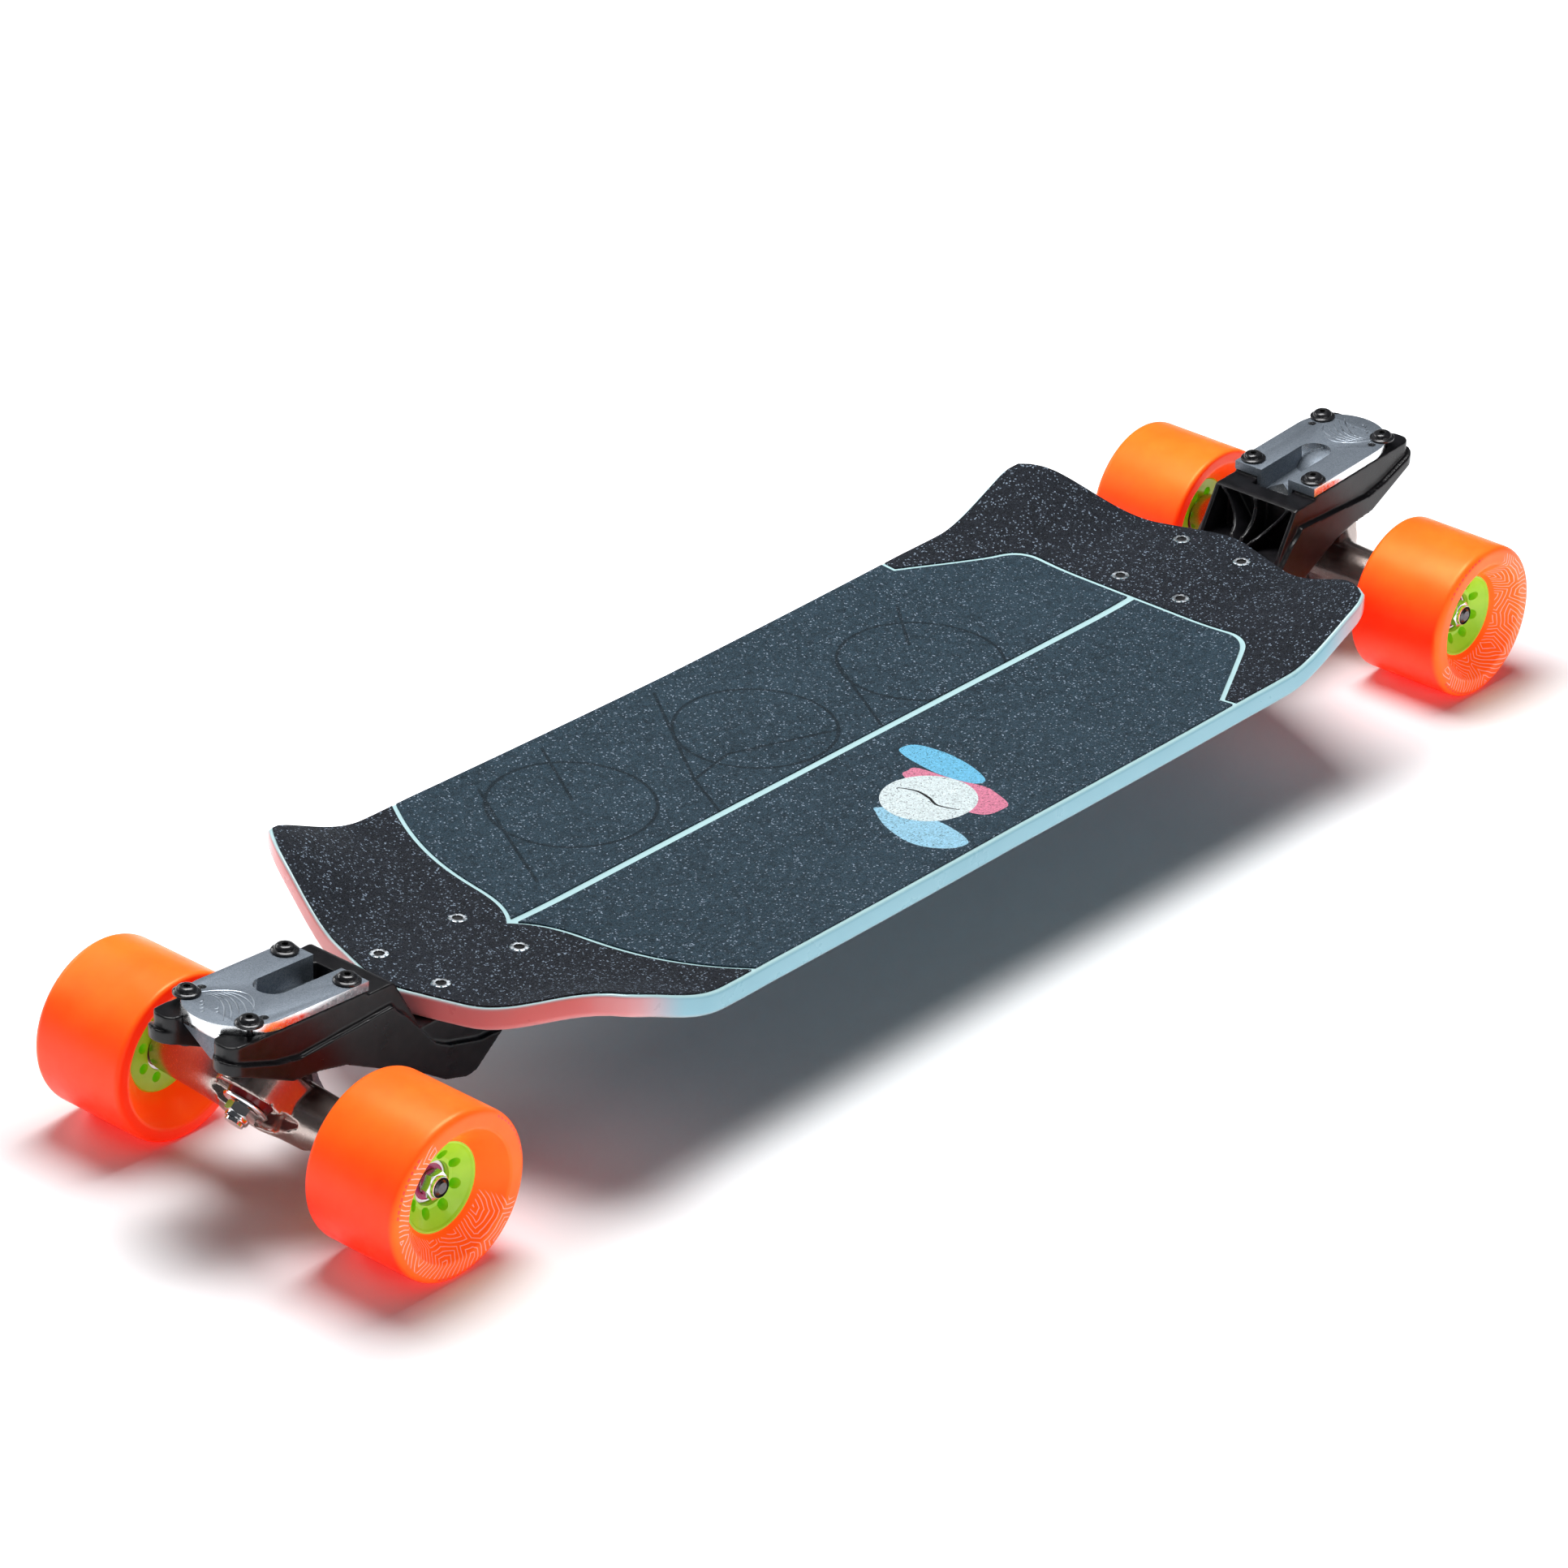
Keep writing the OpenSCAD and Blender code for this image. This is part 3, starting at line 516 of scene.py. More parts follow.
def revolve(name, outline, segments=96, radius_at=None):
    """Solid of revolution about Y. outline is a closed list of (radius, y); a radius of 0 is a pole.
    radius_at(radius, y, angle) may bend a ring away from a circle, as for a hexagon."""
    bm = bmesh.new()
    rings = []
    for radius, y in outline:
        if radius < 1e-6:
            rings.append([bm.verts.new((0, y * MM, 0))])
            continue
        ring = []
        for k in range(segments):
            angle = 2 * math.pi * k / segments
            r, at = (radius, y) if radius_at is None else radius_at(radius, y, angle)
            ring.append(bm.verts.new((r * math.cos(angle) * MM, at * MM, r * math.sin(angle) * MM)))
        rings.append(ring)
    for ring, other in zip(rings, rings[1:] + rings[:1]):
        for k in range(segments):
            around = (ring[k % len(ring)], ring[(k + 1) % len(ring)],
                      other[(k + 1) % len(other)], other[k % len(other)])
            corners = list(dict.fromkeys(around))
            if len(corners) > 2:
                bm.faces.new(corners)
    return mesh_from(bm, name)


def join_meshes(name, parts):
    """One mesh out of (mesh, matrix, material index) parts."""
    bm = bmesh.new()
    for mesh, matrix, material in parts:
        first_vert, first_face = len(bm.verts), len(bm.faces)
        bm.from_mesh(mesh)
        bm.verts.ensure_lookup_table()
        bm.faces.ensure_lookup_table()
        bmesh.ops.transform(bm, matrix=matrix, verts=bm.verts[first_vert:])
        for face in bm.faces[first_face:]:
            face.material_index += material
    return mesh_from(bm, name, outward=False)


def with_modifiers(mesh, name, *steps):
    """The mesh after some modifiers, each given as (type, settings)."""
    source = new_object(name + "_source", mesh)
    for kind, settings in steps:
        modifier = source.modifiers.new(kind.lower(), kind)
        for key, value in settings.items():
            setattr(modifier, key, value)
    bpy.context.view_layer.update()
    made = bpy.data.meshes.new_from_object(source.evaluated_get(bpy.context.evaluated_depsgraph_get()))
    made.name = name
    bpy.data.objects.remove(source)
    return made


def clean_copy(node):
    """Copy of a CAD node's mesh with its shared points joined and its flat faces whole."""
    bm = bmesh.new()
    bm.from_mesh(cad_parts[node].data)
    bmesh.ops.remove_doubles(bm, verts=bm.verts, dist=2e-6)
    bmesh.ops.dissolve_limit(bm, angle_limit=math.radians(4), verts=bm.verts, edges=bm.edges)
    mesh = mesh_from(bm, node + "_clean", outward=False)
    mesh.materials.clear()
    return mesh


# ---------- deck surface ----------

def ease(t):
    c = min(1.0, max(0.0, t))
    return c * c * (3 - 2 * c)


def over(value, limit):
    return max(0.0, value - limit) ** 2


def deck_z(x, y):
    """Height of the painted deck top, in millimetres."""
    x, y = abs(x), abs(y)
    slope = math.tan(END_TILT)
    if x < TILT_END:
        tilt = slope * over(x, TILT_START) / (2 * (TILT_END - TILT_START))
    else:
        tilt = slope * (x - (TILT_START + TILT_END) / 2)
    concave = (CONCAVE_DEPTH + 1.5 * min(1, x / 190) ** 2) * over(y, 30) / over(120, 30)
    wing = WING_RISE
    for at, start, run in zip((x, y), WING_START, WING_RUN):
        wing *= ease((at - start) / run)
    return DECK_HEIGHT + tilt + concave + wing


def end_x(y):
    return DECK_HALF_LENGTH - 36 * (y / 119) ** 1.9 - 5.6 * over(y, 110) / 144


def rail_y(x):
    return DECK_HALF_WIDTH + 1.7 * min(1, x / 200) - 3.7 * over(x, 278) / 144


def deck_point(u, v, inset, depth):
    x = u * (end_x(abs(v) * 122) - inset)
    y = v * (rail_y(abs(x)) - inset)
    return Vector((x, y, deck_z(x, y) - depth)) * MM


def edge_rings(top_round=2.4, low_round=3.2):
    """(inset, depth) from the top of the edge to the underside: a tight round above, a softer one below."""
    t = DECK_THICKNESS
    angles = [math.radians(18 * k) for k in range(6)]
    top = [(top_round * (1 - math.sin(a)), top_round * (1 - math.cos(a))) for a in angles]
    low = [(low_round * (1 - math.cos(a)), t - low_round + low_round * math.sin(a)) for a in angles]
    return top + [(0, 0.5 * t)] + low


def crowded(steps, share):
    """Numbers from -1 to 1, closer together at both ends; share says how much."""
    ts = [2 * i / steps - 1 for i in range(steps + 1)]
    return [math.sin(math.pi / 2 * t) * share + t * (1 - share) for t in ts]


def deck_mesh():
    steps_u, steps_v = 132, 56
    us, vs = crowded(steps_u, 0.35), crowded(steps_v, 0.3)
    rings = edge_rings()
    bm = bmesh.new()

    def net(inset, depth):
        return [[bm.verts.new(deck_point(u, v, inset, depth)) for v in vs] for u in us]

    top, low = net(*rings[0]), net(*rings[-1])
    rim = ([(i, 0) for i in range(steps_u)] + [(steps_u, j) for j in range(steps_v)]
           + [(i, steps_v) for i in range(steps_u, 0, -1)] + [(0, j) for j in range(steps_v, 0, -1)])
    loops = [[top[i][j] for i, j in rim]]
    loops += [[bm.verts.new(deck_point(us[i], vs[j], *ring)) for i, j in rim] for ring in rings[1:-1]]
    loops.append([low[i][j] for i, j in rim])
    for i in range(steps_u):
        for j in range(steps_v):
            bm.faces.new((top[i][j], top[i + 1][j], top[i + 1][j + 1], top[i][j + 1]))
            bm.faces.new((low[i][j], low[i][j + 1], low[i + 1][j + 1], low[i + 1][j]))
    for upper, lower in zip(loops, loops[1:]):
        for k in range(len(rim)):
            m = (k + 1) % len(rim)
            bm.faces.new((upper[k], lower[k], lower[m], upper[m]))
    return finish_mesh(mesh_from(bm, "deck_shell"), 60)


# ---------- grip sheets ----------

# Half widths of the painted gaps, and the deck's bare rim
LINE_HALF, STRIPE_HALF = 1.5, 2.5
GRIP_INSET = 2.2


def rear_x(y):
    return -(227 + 17 * math.exp(-abs(y) / 17) - 27 * over(abs(y), 35) / 7569)


def rear_line(e):
    """Half of the gap line behind the centre grips, moved forward by e."""
    return [(rear_x(y) + e, y) for y in range(0, 126, 3)]


def front_line(e):
    """Half of the gap line in front of the centre grips, moved forward by e."""
    turn = math.radians(62.3)
    points = [(243 + e, 0)]
    for k in range(9):
        a, r = turn * k / 8, 21 + e
        points.append((222 + r * math.cos(a), 64.4 + r * math.sin(a)))
    return points + [(176.5 + e, 112 + 0.6 * e), (176.5 + e, 126)]


def grip_edge(x):
    return rail_y(abs(x)) - GRIP_INSET


def rail_line(x_from, x_to, step=6):
    """Edge of the grip along a rail, between two lengths."""
    count = max(1, round(abs(x_to - x_from) / step))
    xs = [x_from + (x_to - x_from) * k / count for k in range(count + 1)]
    return [(x, grip_edge(x)) for x in xs]


def end_line(sign):
    """Edge of an end grip round the end of the deck, from the rail to the centre line."""
    points = []
    for v in (1 - k / 40 for k in range(41)):
        x = sign * (end_x(v * 122) - GRIP_INSET)
        points.append((x, v * grip_edge(x)))
    return points


def crossing(points, to_y):
    """The open outline cut where it passes to_y(x)."""
    kept = [points[0]]
    for a, b in zip(points, points[1:]):
        limit_a, limit_b = to_y(a[0]) - a[1], to_y(b[0]) - b[1]
        if limit_b <= 0:
            t = limit_a / (limit_a - limit_b)
            kept.append((a[0] + (b[0] - a[0]) * t, a[1] + (b[1] - a[1]) * t))
            return kept
        kept.append(b)
    return kept


def dense(points, step=5.0):
    """The open outline with extra points, none further apart than step."""
    out = [points[0]]
    for a, b in zip(points, points[1:]):
        n = max(1, math.ceil(math.dist(a, b) / step))
        out += [(a[0] + (b[0] - a[0]) * k / n, a[1] + (b[1] - a[1]) * k / n) for k in range(1, n + 1)]
    return out


def centre_outline():
    """Left centre grip, counter-clockwise."""
    front = crossing(front_line(-LINE_HALF), grip_edge)
    front[0] = (front[0][0], STRIPE_HALF)
    rear = crossing(rear_line(LINE_HALF), grip_edge)
    rear[0] = (rear_x(STRIPE_HALF) + LINE_HALF, STRIPE_HALF)
    rail = rail_line(front[-1][0], rear[-1][0])
    return dense(front + rail[1:] + rear[::-1][1:] + [front[0]])[:-1]


def end_outline(gap, sign):
    """Whole end grip, from half of its gap line."""
    cut, tip = crossing(gap, grip_edge), end_line(sign)
    rail = rail_line(cut[-1][0], tip[0][0])
    half = dense(cut + rail[1:] + tip[1:])
    return half + [(x, -y) for x, y in reversed(half[1:-1])]


def circle(centre, radius, count=32):
    angles = [2 * math.pi * k / count for k in range(count)]
    return [(centre[0] + radius * math.cos(a), centre[1] + radius * math.sin(a)) for a in angles]


def inside(point, outline):
    """Whether the point lies in the closed outline."""
    x, y = point
    hit = False
    for (xa, ya), (xb, yb) in zip(outline, outline[1:] + outline[:1]):
        if (ya > y) != (yb > y) and x < xa + (y - ya) * (xb - xa) / (yb - ya):
            hit = not hit
    return hit


def grip_mesh(name, outline, holes=(), prints=()):
    """Thin solid sheet on the deck. holes are outlines cut out; prints are (outline, material index), the last
    on top."""
    spacing = 5.5
    loops = [outline, *holes, *(shape for shape, _ in prints)]
    points, edges = [], []
    for loop in loops:
        first = len(points)
        points += loop
        edges += [(first + k, first + (k + 1) % len(loop)) for k in range(len(loop))]
    fixed = list(points)
    xs, ys = [p[0] for p in outline], [p[1] for p in outline]
    near = (0.45 * spacing) ** 2
    row, y = 0, min(ys)
    while y < max(ys):
        x = min(xs) + (0.5 * spacing if row % 2 else 0)
        while x < max(xs):
            if inside((x, y), outline) and not any(inside((x, y), h) for h in holes):
                if all((x - px) ** 2 + (y - py) ** 2 > near for px, py in fixed if abs(x - px) < spacing):
                    points.append((x, y))
            x += spacing
        y += spacing * 0.87
        row += 1
    flat, _, faces, _, _, _ = geometry.delaunay_2d_cdt([Vector(p) for p in points], edges, [], 0, 1e-5)
    bm = bmesh.new()
    top, low = ([bm.verts.new(Vector((p.x, p.y, deck_z(p.x, p.y) + rise)) * MM) for p in flat]
                for rise in (GRIP_THICKNESS, -0.05))
    used = {}
    for face in faces:
        centre = (sum(flat[k].x for k in face) / len(face), sum(flat[k].y for k in face) / len(face))
        if not inside(centre, outline) or any(inside(centre, h) for h in holes):
            continue
        upper = bm.faces.new([top[k] for k in face])
        upper.material_index = next((index for shape, index in reversed(prints) if inside(centre, shape)), 0)
        bm.faces.new([low[k] for k in reversed(face)])
        for a, b in zip(face, list(face[1:]) + [face[0]]):
            used[(a, b)] = True
    for a, b in used:
        if (b, a) not in used:
            bm.faces.new((top[b], top[a], low[a], low[b]))
    bmesh.ops.delete(bm, geom=[v for v in bm.verts if not v.link_faces], context="VERTS")
    return finish_mesh(mesh_from(bm, name), 50)


def blob(points, steps=8):
    """Smooth closed outline through a few points (Catmull-Rom)."""
    n = len(points)
    out = []
    for i in range(n):
        p0, p1, p2, p3 = (Vector(points[(i + k - 1) % n]) for k in range(4))
        for k in range(steps):
            t = k / steps
            out.append(tuple(0.5 * (2 * p1 + (p2 - p0) * t + (2 * p0 - 5 * p1 + 4 * p2 - p3) * t * t
                                    + (3 * p1 - p0 - 3 * p2 + p3) * t ** 3)))
    return out


def screw_places(pattern, centre, z, tilt, sign):
    """Matrices of a four-hole pattern at one end: origin at the hole, local Y up along its axis."""
    turn = Matrix.Rotation(math.pi if sign < 0 else 0, 4, "Z")
    plane = turn @ Matrix.Translation(Vector((centre, 0, z)) * MM) @ Matrix.Rotation(-tilt, 4, "Y")
    places = []
    for sx in (-0.5, 0.5):
        for sy in (-0.5, 0.5):
            local = Matrix.Translation(Vector((sx * pattern[0], sy * pattern[1], 0)) * MM)
            places.append(plane @ local @ Matrix.Rotation(math.pi / 2, 4, "X"))
    return places


def deck_screw_places(sign):
    return screw_places(DECK_PATTERN, DECK_BOLT_X, deck_z(DECK_BOLT_X, 0), END_TILT, sign)


def truck_bolt_places(sign):
    return screw_places(TRUCK_PATTERN, PLATE_X, PLATE_Z, PLATE_TILT, sign)


# Emblem on the right centre grip, from the lowest layer up: outline and ink
EMBLEM = [
    (blob([(3, -42), (9, -39), (15, -41), (17.5, -60), (21.5, -79), (20, -88), (15, -100), (9, -103), (-4, -98),
           (-6, -70)]), "print_rose"),
    (blob([(25, -20.5), (34, -24), (37.4, -40), (36, -55), (31.5, -69), (26, -76.3), (20, -72), (17, -54),
           (18.5, -38), (21, -26)]), "print_sky"),
    (blob([(-32, -53), (-36.5, -57), (-44.5, -70), (-50, -88), (-48.5, -101), (-42, -111), (-34.8, -114),
           (-30.5, -112), (-26, -102), (-23, -86), (-24, -65)]), "print_pale_blue"),
    (circle((-7, -66.7), 25.1, 48), "print_white")]
# A plain S-shaped stroke on its disc
STROKE = [(-9.5, -48.5), (-4.8, -56), (-6.2, -66), (-9.8, -75), (-6, -85.5)]
# Large rings and strokes printed under the grit of the left centre grip
RINGS = [(-135, 60.5, 43.5), (-9.4, 48, 43), (107.5, 35, 44.5)]
STROKES = [(-19, 110, -72, 34), (-72, 34, -88, 3), (-104.5, 109.5, -131, 63.5), (-158, 103, -204, 19),
           (75.6, 65.8, 37.8, 2.5), (-72, 34, -40, 40), (-40, 40, 20, 16), (146, 84, 118, 52)]


def stroke_outline(points, half=0.8):
    """Closed outline of a stroke that tapers towards its two ends."""
    path = blob(points, 8)[:8 * (len(points) - 1) + 1]
    left, right = [], []
    for k, (x, y) in enumerate(path):
        before, after = Vector(path[max(0, k - 1)]), Vector(path[min(len(path) - 1, k + 1)])
        side = (after - before).normalized()
        width = half * (0.25 + 0.75 * math.sin(math.pi * k / (len(path) - 1)))
        left.append((x - side.y * width, y + side.x * width))
        right.append((x + side.y * width, y - side.x * width))
    return left + right[::-1]


def add_sheet(name, materials, slot, outline, **cuts):
    add_piece(name + "_sheet", grip_mesh(name + "_sheet", outline, **cuts), materials, "root", name)


def make_deck():
    add_piece("deck_shell", deck_mesh(), [deck_material()], "root", "deck")
    black_tones, blue_tones = (0.014, 0.017, 0.0235), (0.025, 0.046, 0.064)
    # Pale blue-white of the painted glints on the grit
    painted_glint = (0.30, 0.38, 0.48)
    black = grit_material("grit_black", black_tones, painted_glint, 0.09)
    blue = grit_material("grit_blue_grey", blue_tones, painted_glint, 0.07)
    ringed = grit_material("grit_blue_grey_ringed", blue_tones, painted_glint, 0.07, RINGS, STROKES)
    inks = {"print_white": (0.74, 0.84, 0.86), "print_sky": (0.17, 0.54, 0.80), "print_rose": (0.74, 0.24, 0.36),
            "print_pale_blue": (0.33, 0.62, 0.80), "print_ink": (0.012, 0.012, 0.014)}
    for name, gap, sign in (("grip_front", front_line(LINE_HALF), 1), ("grip_rear", rear_line(-LINE_HALF), -1)):
        holes = [circle((m.translation.x / MM, m.translation.y / MM), 4.95) for m in deck_screw_places(sign)]
        add_sheet(name, [black], "grip_black", end_outline(gap, sign), holes=holes)
    left = centre_outline()
    add_sheet("grip_left", [ringed], "grip_blue", left)
    layers = EMBLEM + [(stroke_outline(STROKE), "print_ink")]
    prints = [(outline, list(inks).index(ink) + 1) for outline, ink in layers]
    add_sheet("grip_right", [blue] + [print_material(*ink) for ink in inks.items()], "grip_blue",
              [(x, -y) for x, y in reversed(left)], prints=prints)


# ---------- fasteners ----------

def sixth(angle):
    """Angle from the middle of the nearest side of a hexagon."""
    return angle % (math.pi / 3) - math.pi / 6


def shade_socket_faces(mesh, radius, bottom):
    """Gives the second material, painted shade, to a socket's faces: within radius of the local Y axis, and above
    bottom.
    """
    for face in mesh.polygons:
        if math.hypot(face.center.x, face.center.z) < radius * MM and face.center.y > bottom * MM:
            face.material_index = 1


def hex_nut_mesh(name, flats, height, bore, collar=0.0):
    """Nut with chamfered corners, standing on y = 0, and a rounded collar that holds a locking ring."""
    corner = flats / math.sqrt(3)
    top = height - collar

    def radius_at(radius, y, angle):
        if radius <= corner * 0.999:
            return radius, y
        reach = flats / 2 / math.cos(sixth(angle))
        drop = max(0.0, reach - flats / 2) * 0.55
        return reach, (y - drop if y > height / 3 else y + drop)

    chamfer = flats / 2 * 0.95
    outline = [(bore, 0.5), (bore + 0.5, 0), (chamfer, 0), (corner, 0.05), (corner, top - 0.05), (chamfer, top)]
    if collar:
        r = flats / 2 * 0.88
        outline += [(r, top + 0.1), (r, height - 0.8), (r - 0.25, height - 0.25), (r - 0.9, height),
                    (bore + 1.1, height), (bore + 1.0, height - 0.5), (bore, height - 0.6)]
    else:
        outline += [(bore + 0.5, top), (bore, top - 0.5)]
    return finish_mesh(revolve(name, outline, 72, radius_at=radius_at), 30)


def button_head_mesh():
    """Flanged button head with a hex socket, its flange standing on y = 0."""
    flats = 3.2

    def radius_at(radius, y, angle):
        return (radius if radius > 2.0 else flats / 2 / math.cos(sixth(angle)) * radius / 1.85), y

    outline = [(0, 1.1), (1.85, 1.4), (1.85, 3.95), (2.15, 4.18), (3.2, 4.1), (4.3, 3.6), (5.05, 2.8), (5.3, 1.95),
               (5.35, 1.75), (6.5, 1.45), (6.85, 1.1), (6.9, 0.7), (6.8, 0.2), (6.5, 0), (2.4, 0), (2.4, -26.3),
               (0, -26.3)]
    return finish_mesh(revolve("button_head", outline, 72, radius_at=radius_at), 38)


def sleeve_head_mesh():
    """Flush head with a hex socket and eight notches in its rim, its top just above the grip."""
    flats, socket, notched = 4.4, 2.54, 3.7
    top = GRIP_THICKNESS

    def radius_at(radius, y, angle):
        if 1 < radius < 2.6:
            return flats / 2 / math.cos(sixth(angle)) * radius / socket, y
        from_notch = abs((angle + math.pi / 8) % (math.pi / 4) - math.pi / 8)
        return (notched if radius > 4.2 and y > -0.9 and from_notch < math.radians(7) else radius), y

    outline = [(0, top - 0.7), (socket, top - 0.66), (socket, top - 0.2), (2.75, top), (4.25, top), (4.6, top - 0.12),
               (4.75, top - 0.4), (4.75, -0.89), (4.75, -0.92), (4.75, -3.3), (2.65, -3.3), (2.65, -24.9), (0, -24.9)]
    return finish_mesh(revolve("sleeve_head", outline, 144, radius_at=radius_at), 32)


def make_fasteners():
    silver = steel_material("screw_satin_steel", (0.74, 0.79, 0.84), 0.42, 900)
    # Painted shade: a near-black material for the insides of sockets and the mouths of the axle nuts
    hollow = soft_plastic_material("socket_shadow", (0.006, 0.006, 0.007), (0.012, 0.012, 0.013), 0.9, 0.0)
    black = black_steel_material()
    head, bolt = sleeve_head_mesh(), button_head_mesh()
    shade_socket_faces(bolt, 2.25, 0)
    shade_socket_faces(head, 2.62, -3)
    deck_nut = hex_nut_mesh("deck_nut", 8, 5, 2.45)
    truck_nut = hex_nut_mesh("truck_nut", 8, 6, 2.45, collar=1.6)
    flip = Matrix.Rotation(math.pi, 4, "X")
    screws, deck_nuts, bolts, truck_nuts = [], [], [], []
    for sign in (1, -1):
        for place in deck_screw_places(sign):
            screws.append((head, place, 0))
            deck_nuts.append((deck_nut, place @ along(-18.9) @ flip, 0))
        for k, place in enumerate(truck_bolt_places(sign)):
            bolts.append((bolt, place @ Matrix.Rotation(0.4 * k, 4, "Y"), 0))
            truck_nuts.append((truck_nut, place @ along(-20) @ flip, 0))
    for name, parts, material, slot in (
            ("deck_screws", screws, silver, "screw_steel"), ("deck_nuts", deck_nuts, black, "bolt_black"),
            ("truck_bolts", bolts, black, "bolt_black"), ("truck_nuts", truck_nuts, black, "bolt_black")):
        mesh = finish_mesh(join_meshes(name + "_set", parts), 34)
        add_piece(name + "_set", mesh, [material, hollow], "root", name)
    return hollow


# ---------- trucks ----------

def end_matrix(end):
    return Matrix.Rotation(0 if end == "front" else math.pi, 4, "Z")


def kingpin_matrix(end):
    """Local Y runs down the kingpin towards its nut, from the centre of the hanger's ring."""
    down = Matrix.Rotation(math.pi / 2 + KINGPIN_SLOPE, 4, "Y") @ Matrix.Rotation(math.pi / 2, 4, "X")
    return end_matrix(end) @ Matrix.Translation(Vector((RING_X, 0, RING_Z)) * MM) @ down


def axle_matrix(end, side):
    """Local Y runs outwards along the axle, from the board's centre plane."""
    turn = Matrix.Identity(4) if side == "left" else Matrix.Rotation(math.pi, 4, "Z")
    x = (AXLE_X if end == "front" else -AXLE_X) * MM
    return Matrix.Translation((x, 0, WHEEL_R * MM)) @ turn


def plate_matrix():
    """Frame of the baseplate's top face, its origin in the middle of the bolt pattern."""
    return Matrix.Translation(Vector((PLATE_X, 0, PLATE_Z)) * MM) @ Matrix.Rotation(-PLATE_TILT, 4, "Y")


def ridge_mesh(start, middle, end, half, height, steps=14):
    """Raised line along a curve through three points, tapering at both ends."""
    bm = bmesh.new()
    a, b, c = Vector(start), Vector(middle) * 2 - (Vector(start) + Vector(end)) / 2, Vector(end)
    rows = []
    for k in range(steps + 1):
        t = k / steps
        p = (1 - t) ** 2 * a + 2 * t * (1 - t) * b + t * t * c
        heading = (2 * (1 - t) * (b - a) + 2 * t * (c - b)).normalized()
        size = 0.25 + 0.75 * math.sin(math.pi * (0.08 + 0.84 * t))
        row = []
        for j in range(5):
            across = half * size * math.cos(math.pi * j / 4)
            up = height * size * math.sin(math.pi * j / 4) - 0.05
            row.append(bm.verts.new(Vector((p.x - heading.y * across, p.y + heading.x * across, up)) * MM))
        rows.append(row)
    for row, other in zip(rows, rows[1:]):
        for j in range(4):
            bm.faces.new((row[j], row[j + 1], other[j + 1], other[j]))
        bm.faces.new((row[4], row[0], other[0], other[4]))
    bm.faces.new(rows[0])
    bm.faces.new(list(reversed(rows[-1])))
    return mesh_from(bm, "ridge")


def plate_relief():
    """A fan of curved ridges near the outboard end, with a few short ones behind it."""
    ridges = [ridge_mesh((26, -17.3), (12, -1.5), (23.8, 14.1), 0.5, 0.5)]
    for k in range(5):
        ridges.append(ridge_mesh((18.6 + 1.8 * k, -11.2 - 0.7 * k), (15.4 + 2.7 * k, 0.2 - 0.8 * k),
                                 (20.0 + 4.6 * k, 12.2 - 0.5 * k), 0.6, 0.5))
    for k in range(6):
        x, y = 30.5 + 2.3 * (k % 4), -11 + 2.5 * k
        ridges.append(ridge_mesh((x, y), (x + 1.2, y + 0.8), (x + 2.6, y + 0.3), 0.5, 0.35, 6))
    return ridges


def cast(node, voxel, rounds):
    """The node's shape with soft corners, as from a mould."""
    return finish_mesh(with_modifiers(clean_copy(node), node + "_cast",
                                      ("REMESH", {"mode": "VOXEL", "voxel_size": voxel}),
                                      ("SMOOTH", {"factor": 0.5, "iterations": rounds})), 60)


def baseplate_mesh(end, blasted, bright):
    """Blasted plate with bevelled, brighter edges and sides, and a raised fan on its top."""
    name = end + "_baseplate_cast"
    plate = clean_copy(end + "_baseplate")
    plate.materials.append(blasted)
    plate.materials.append(bright)
    bevel = {"width": 0.0007, "segments": 3, "limit_method": "ANGLE", "material": 1,
             "angle_limit": math.radians(28)}
    plate = with_modifiers(plate, name, ("BEVEL", bevel))
    side_from = max(v.co.z for v in plate.vertices) - 8 * MM
    for face in plate.polygons:
        if abs(face.normal.z) < 0.4 and face.center.z > side_from:
            face.material_index = 1
    relief = [(ridge, end_matrix(end) @ plate_matrix(), 2) for ridge in plate_relief()]
    return finish_mesh(join_meshes(name, [(plate, Matrix.Identity(4), 0)] + relief), 40)


def bushing_stack(end, bushing, chrome):
    """Bushings, washers and nut, along the kingpin."""
    at = kingpin_matrix(end)
    outer = rounded([(5.2, 5.5), (12.1, 5.5), (12.5, 8.0), (12.2, 12.5), (11.0, 16.5), (5.2, 16.5)], 0.9)
    inner = rounded([(5.2, -19.5), (11.4, -19.5), (12.0, -12.5), (11.4, -5.5), (5.2, -5.5)], 0.9)
    for side, outline in (("outer", outer), ("inner", inner)):
        node = f"{end}_{side}_bushing"
        add_piece(node + "_cast", finish_mesh(revolve(side + "_bushing", outline, 96)), [bushing], "root", node,
                  at)
    washer = rounded([(5.15, 16.7), (11.2, 16.7), (12.4, 16.7), (12.4, 17.4), (11.7, 18.4), (5.15, 18.4)], 0.4)
    seat = rounded([(5.15, -20.85), (12.4, -20.85), (12.4, -19.6), (5.15, -19.6)], 0.3)
    washers = join_meshes("washers", [(revolve("washer", outline, 96), Matrix.Identity(4), 0)
                                      for outline in (washer, seat)])
    add_piece(end + "_washer_set", finish_mesh(washers), [chrome], "root", end + "_cup_washers", at)
    nut = hex_nut_mesh("kingpin_nut", 14.3, 7.4, 5.02, collar=2.4)
    add_piece(end + "_kingpin_nut_turned", nut, [chrome], "root", end + "_kingpin_nut",
              at @ along(18.6))


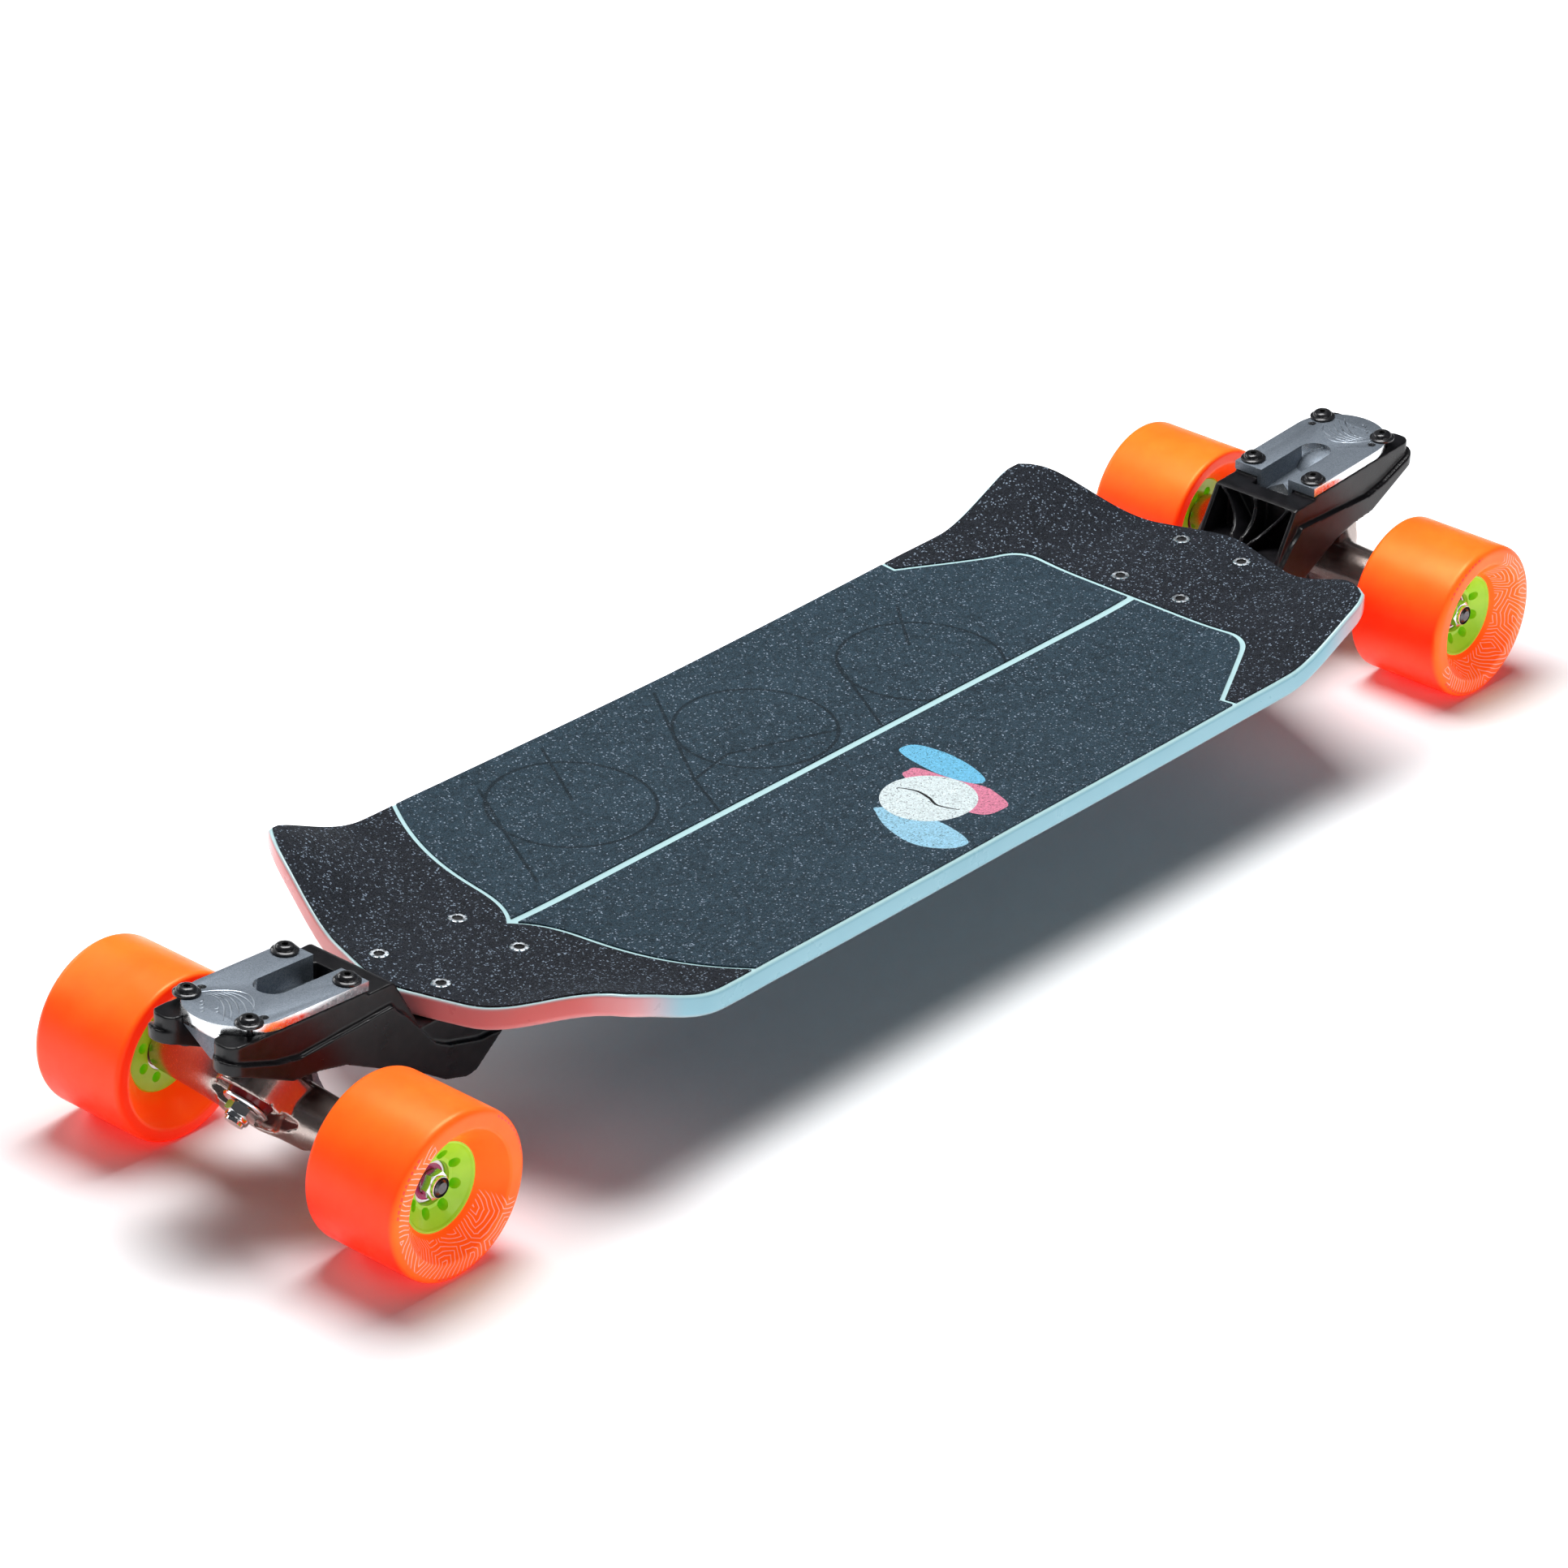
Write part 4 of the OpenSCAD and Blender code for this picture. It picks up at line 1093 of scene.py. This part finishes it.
def make_trucks(chrome):
    bracket = bracket_material()
    blasted, bright = blasted_material(), bright_edge_material()
    raised = steel_material("plate_raised_lines", (0.44, 0.49, 0.55), 0.42)
    pewter = hanger_material()
    steel = steel_material("axle_steel", (0.16, 0.16, 0.17), 0.3, 700)
    bushing = soft_plastic_material("bushing_urethane", (0.20, 0.007, 0.014), (0.30, 0.014, 0.020), 0.22)
    nylon = soft_plastic_material("nylon_white", (0.62, 0.62, 0.58), (0.74, 0.73, 0.69), 0.5, 0.0)
    for end in ENDS:
        add_piece(end + "_bracket_cast", cast(end + "_bracket", 0.0006, 8), [bracket], "root", end + "_bracket")
        add_piece(end + "_baseplate_cast", baseplate_mesh(end, blasted, bright), [blasted, bright, raised], "root",
                  end + "_baseplate")
        add_piece(end + "_hanger_cast", cast(end + "_hanger", 0.0007, 6), [pewter], end + "_hanger",
                  end + "_hanger")
        bushing_stack(end, bushing, chrome)
        rod = revolve("axle", [(0, -109), (2.8, -109), (4, -107.9), (4, 107.9), (2.8, 109), (0, 109)], 64)
        add_piece(end + "_axle_turned", finish_mesh(rod), [steel], end + "_hanger", end + "_axle",
                  axle_matrix(end, "left"))
        for node, material in (("kingpin", chrome), ("pivot_cup", nylon), ("speed_rings", chrome),
                               ("inner_races", chrome), ("bearing_spacers", steel)):
            recolour(end + "_" + node, material)


def recolour(node, material):
    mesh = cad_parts[node].data
    mesh.materials.clear()
    mesh.materials.append(material)


# ---------- wheels ----------

WHEEL_MIDDLE, WHEEL_HALF = (WHEEL_IN + WHEEL_OUT) / 2, (WHEEL_OUT - WHEEL_IN) / 2
# Inner ends of the two bearings in each wheel, measured along the axle from the board's centre plane
BEARINGS = (76.2, 93.2)
CORE_HOLES, CORE_HOLE_R, CORE_HOLE_CIRCLE = 8, 2.75, 14.6
# Quarter turns of each tyre on its core, so the prints do not line up
PRINT_QUARTERS = {"rear_right": 0, "front_right": 1, "rear_left": 2, "front_left": 3}


def tyre_mesh():
    """Tyre in its own frame: local Y runs outwards, zero at the middle of the tread."""
    half = WHEEL_HALF
    face, back = CORE_OUT - WHEEL_MIDDLE, CORE_IN - 1 - WHEEL_MIDDLE
    outline = [(CORE_R, back), (35.6, -half + 0.5), (37.0, -half), (WHEEL_R, -half), (WHEEL_R, half), (34.4, half),
               (33.2, half - 0.6), (CORE_R + 0.3, face), (CORE_R, face)]
    radii = [0, 1.2, 0.9, 5.2, 5.2, 1.8, 1.8, 0.6, 0]
    return finish_mesh(revolve("wheel_tyre", rounded(outline, radii, 8), 144), 50)


def core_mesh():
    """Core with round holes between its rim and its hub."""
    y0, y1 = CORE_IN - WHEEL_MIDDLE, CORE_OUT - WHEEL_MIDDLE
    low_seat, high_seat, mouth = (y - WHEEL_MIDDLE for y in (83.2, 93.2, 100.2))
    outline = [(11, y0), (22, y0), (CORE_R, y0 + 1), (CORE_R, y1), (21.9, y1), (20.9, y1 - 1), (13.1, y1 - 5.6),
               (11.2, y1 - 5.7), (11.2, mouth), (11, mouth), (11, high_seat), (9.6, high_seat),
               (9.6, low_seat), (11, low_seat)]
    radii = [0, 0.4, 0.4, 0.4, 0.5, 1.4, 0.9, 0.3, 0, 0, 0, 0, 0, 0]
    body = revolve("wheel_core_body", rounded(outline, radii, 3), 144)
    pin = revolve("pin", [(0, y0 - 2), (CORE_HOLE_R, y0 - 2), (CORE_HOLE_R, y1 + 2), (0, y1 + 2)], 32)
    cutters = []
    for k in range(CORE_HOLES):
        angle = 2 * math.pi * (k + 0.5) / CORE_HOLES
        offset = Vector((math.cos(angle), 0, math.sin(angle))) * CORE_HOLE_CIRCLE * MM
        cutters.append((pin, Matrix.Translation(offset), 0))
    cutter = new_object("cutter", join_meshes("cutter", cutters))
    settings = {"object": cutter, "operation": "DIFFERENCE", "solver": "EXACT"}
    cut = with_modifiers(body, "wheel_core", ("BOOLEAN", settings))
    bpy.data.objects.remove(cutter)
    return finish_mesh(cut, 35)


def ring_set(name, inner, outer, spans, round_off):
    """Rings about the axle, each between two of its positions."""
    rings = []
    for low, high in spans:
        outline = [(inner, low), (outer, low), (outer, high), (inner, high)]
        rings.append((revolve(name, rounded(outline, round_off, 2), 96), Matrix.Identity(4), 0))
    return finish_mesh(join_meshes(name + "s", rings))


def make_wheels(chrome, hollow):
    urethane, lime = urethane_material(), core_material()
    magenta = soft_plastic_material("shield_magenta", (0.42, 0.02, 0.16), (0.58, 0.04, 0.24), 0.25)
    bearing = steel_material("bearing_ground_steel", (0.72, 0.73, 0.75), 0.14)
    tyre, core = tyre_mesh(), core_mesh()
    starts = [y - WHEEL_MIDDLE for y in BEARINGS]
    shields = ring_set("shield", 6.3, 9.0, [(y + at, y + at + 0.4) for y in starts for at in (0.3, 6.3)], 0.12)
    races = ring_set("race", 9.0, 11.0, [(y, y + 7) for y in starts], 0.3)
    nut = hex_nut_mesh("axle_nut", 12.7, 6.8, 4.02, collar=2.0)
    # Painted shade round the nut's bore
    shade_socket_faces(nut, 5.0, 6.2)
    for end in ENDS:
        for side in SIDES:
            name = f"{end}_{side}"
            body = name + "_wheel"
            at = axle_matrix(end, side) @ along(WHEEL_MIDDLE)
            printed = at @ Matrix.Rotation(PRINT_QUARTERS[name] * math.pi / 2, 4, "Y")
            add_piece(name + "_tyre_cast", tyre, [urethane], body, name + "_tyre", printed)
            add_piece(name + "_core_moulded", core, [lime], body, name + "_core", at)
            add_piece(name + "_shield_set", shields, [magenta], body, name + "_shields", at)
            add_piece(name + "_race_set", races, [bearing], body, name + "_outer_races", at)
            recolour(name + "_balls", bearing)
        nuts = [(nut, axle_matrix(end, side) @ along(101.4), 0) for side in SIDES]
        add_piece(end + "_axle_nut_pair", finish_mesh(join_meshes("axle_nuts", nuts), 30), [chrome, hollow],
                  end + "_hanger", end + "_axle_nuts")


make_camera()
make_studio()
make_deck()
socket_shade = make_fasteners()
polished = steel_material("chrome_polished", (0.88, 0.89, 0.90), 0.16)
make_trucks(polished)
make_wheels(polished, socket_shade)
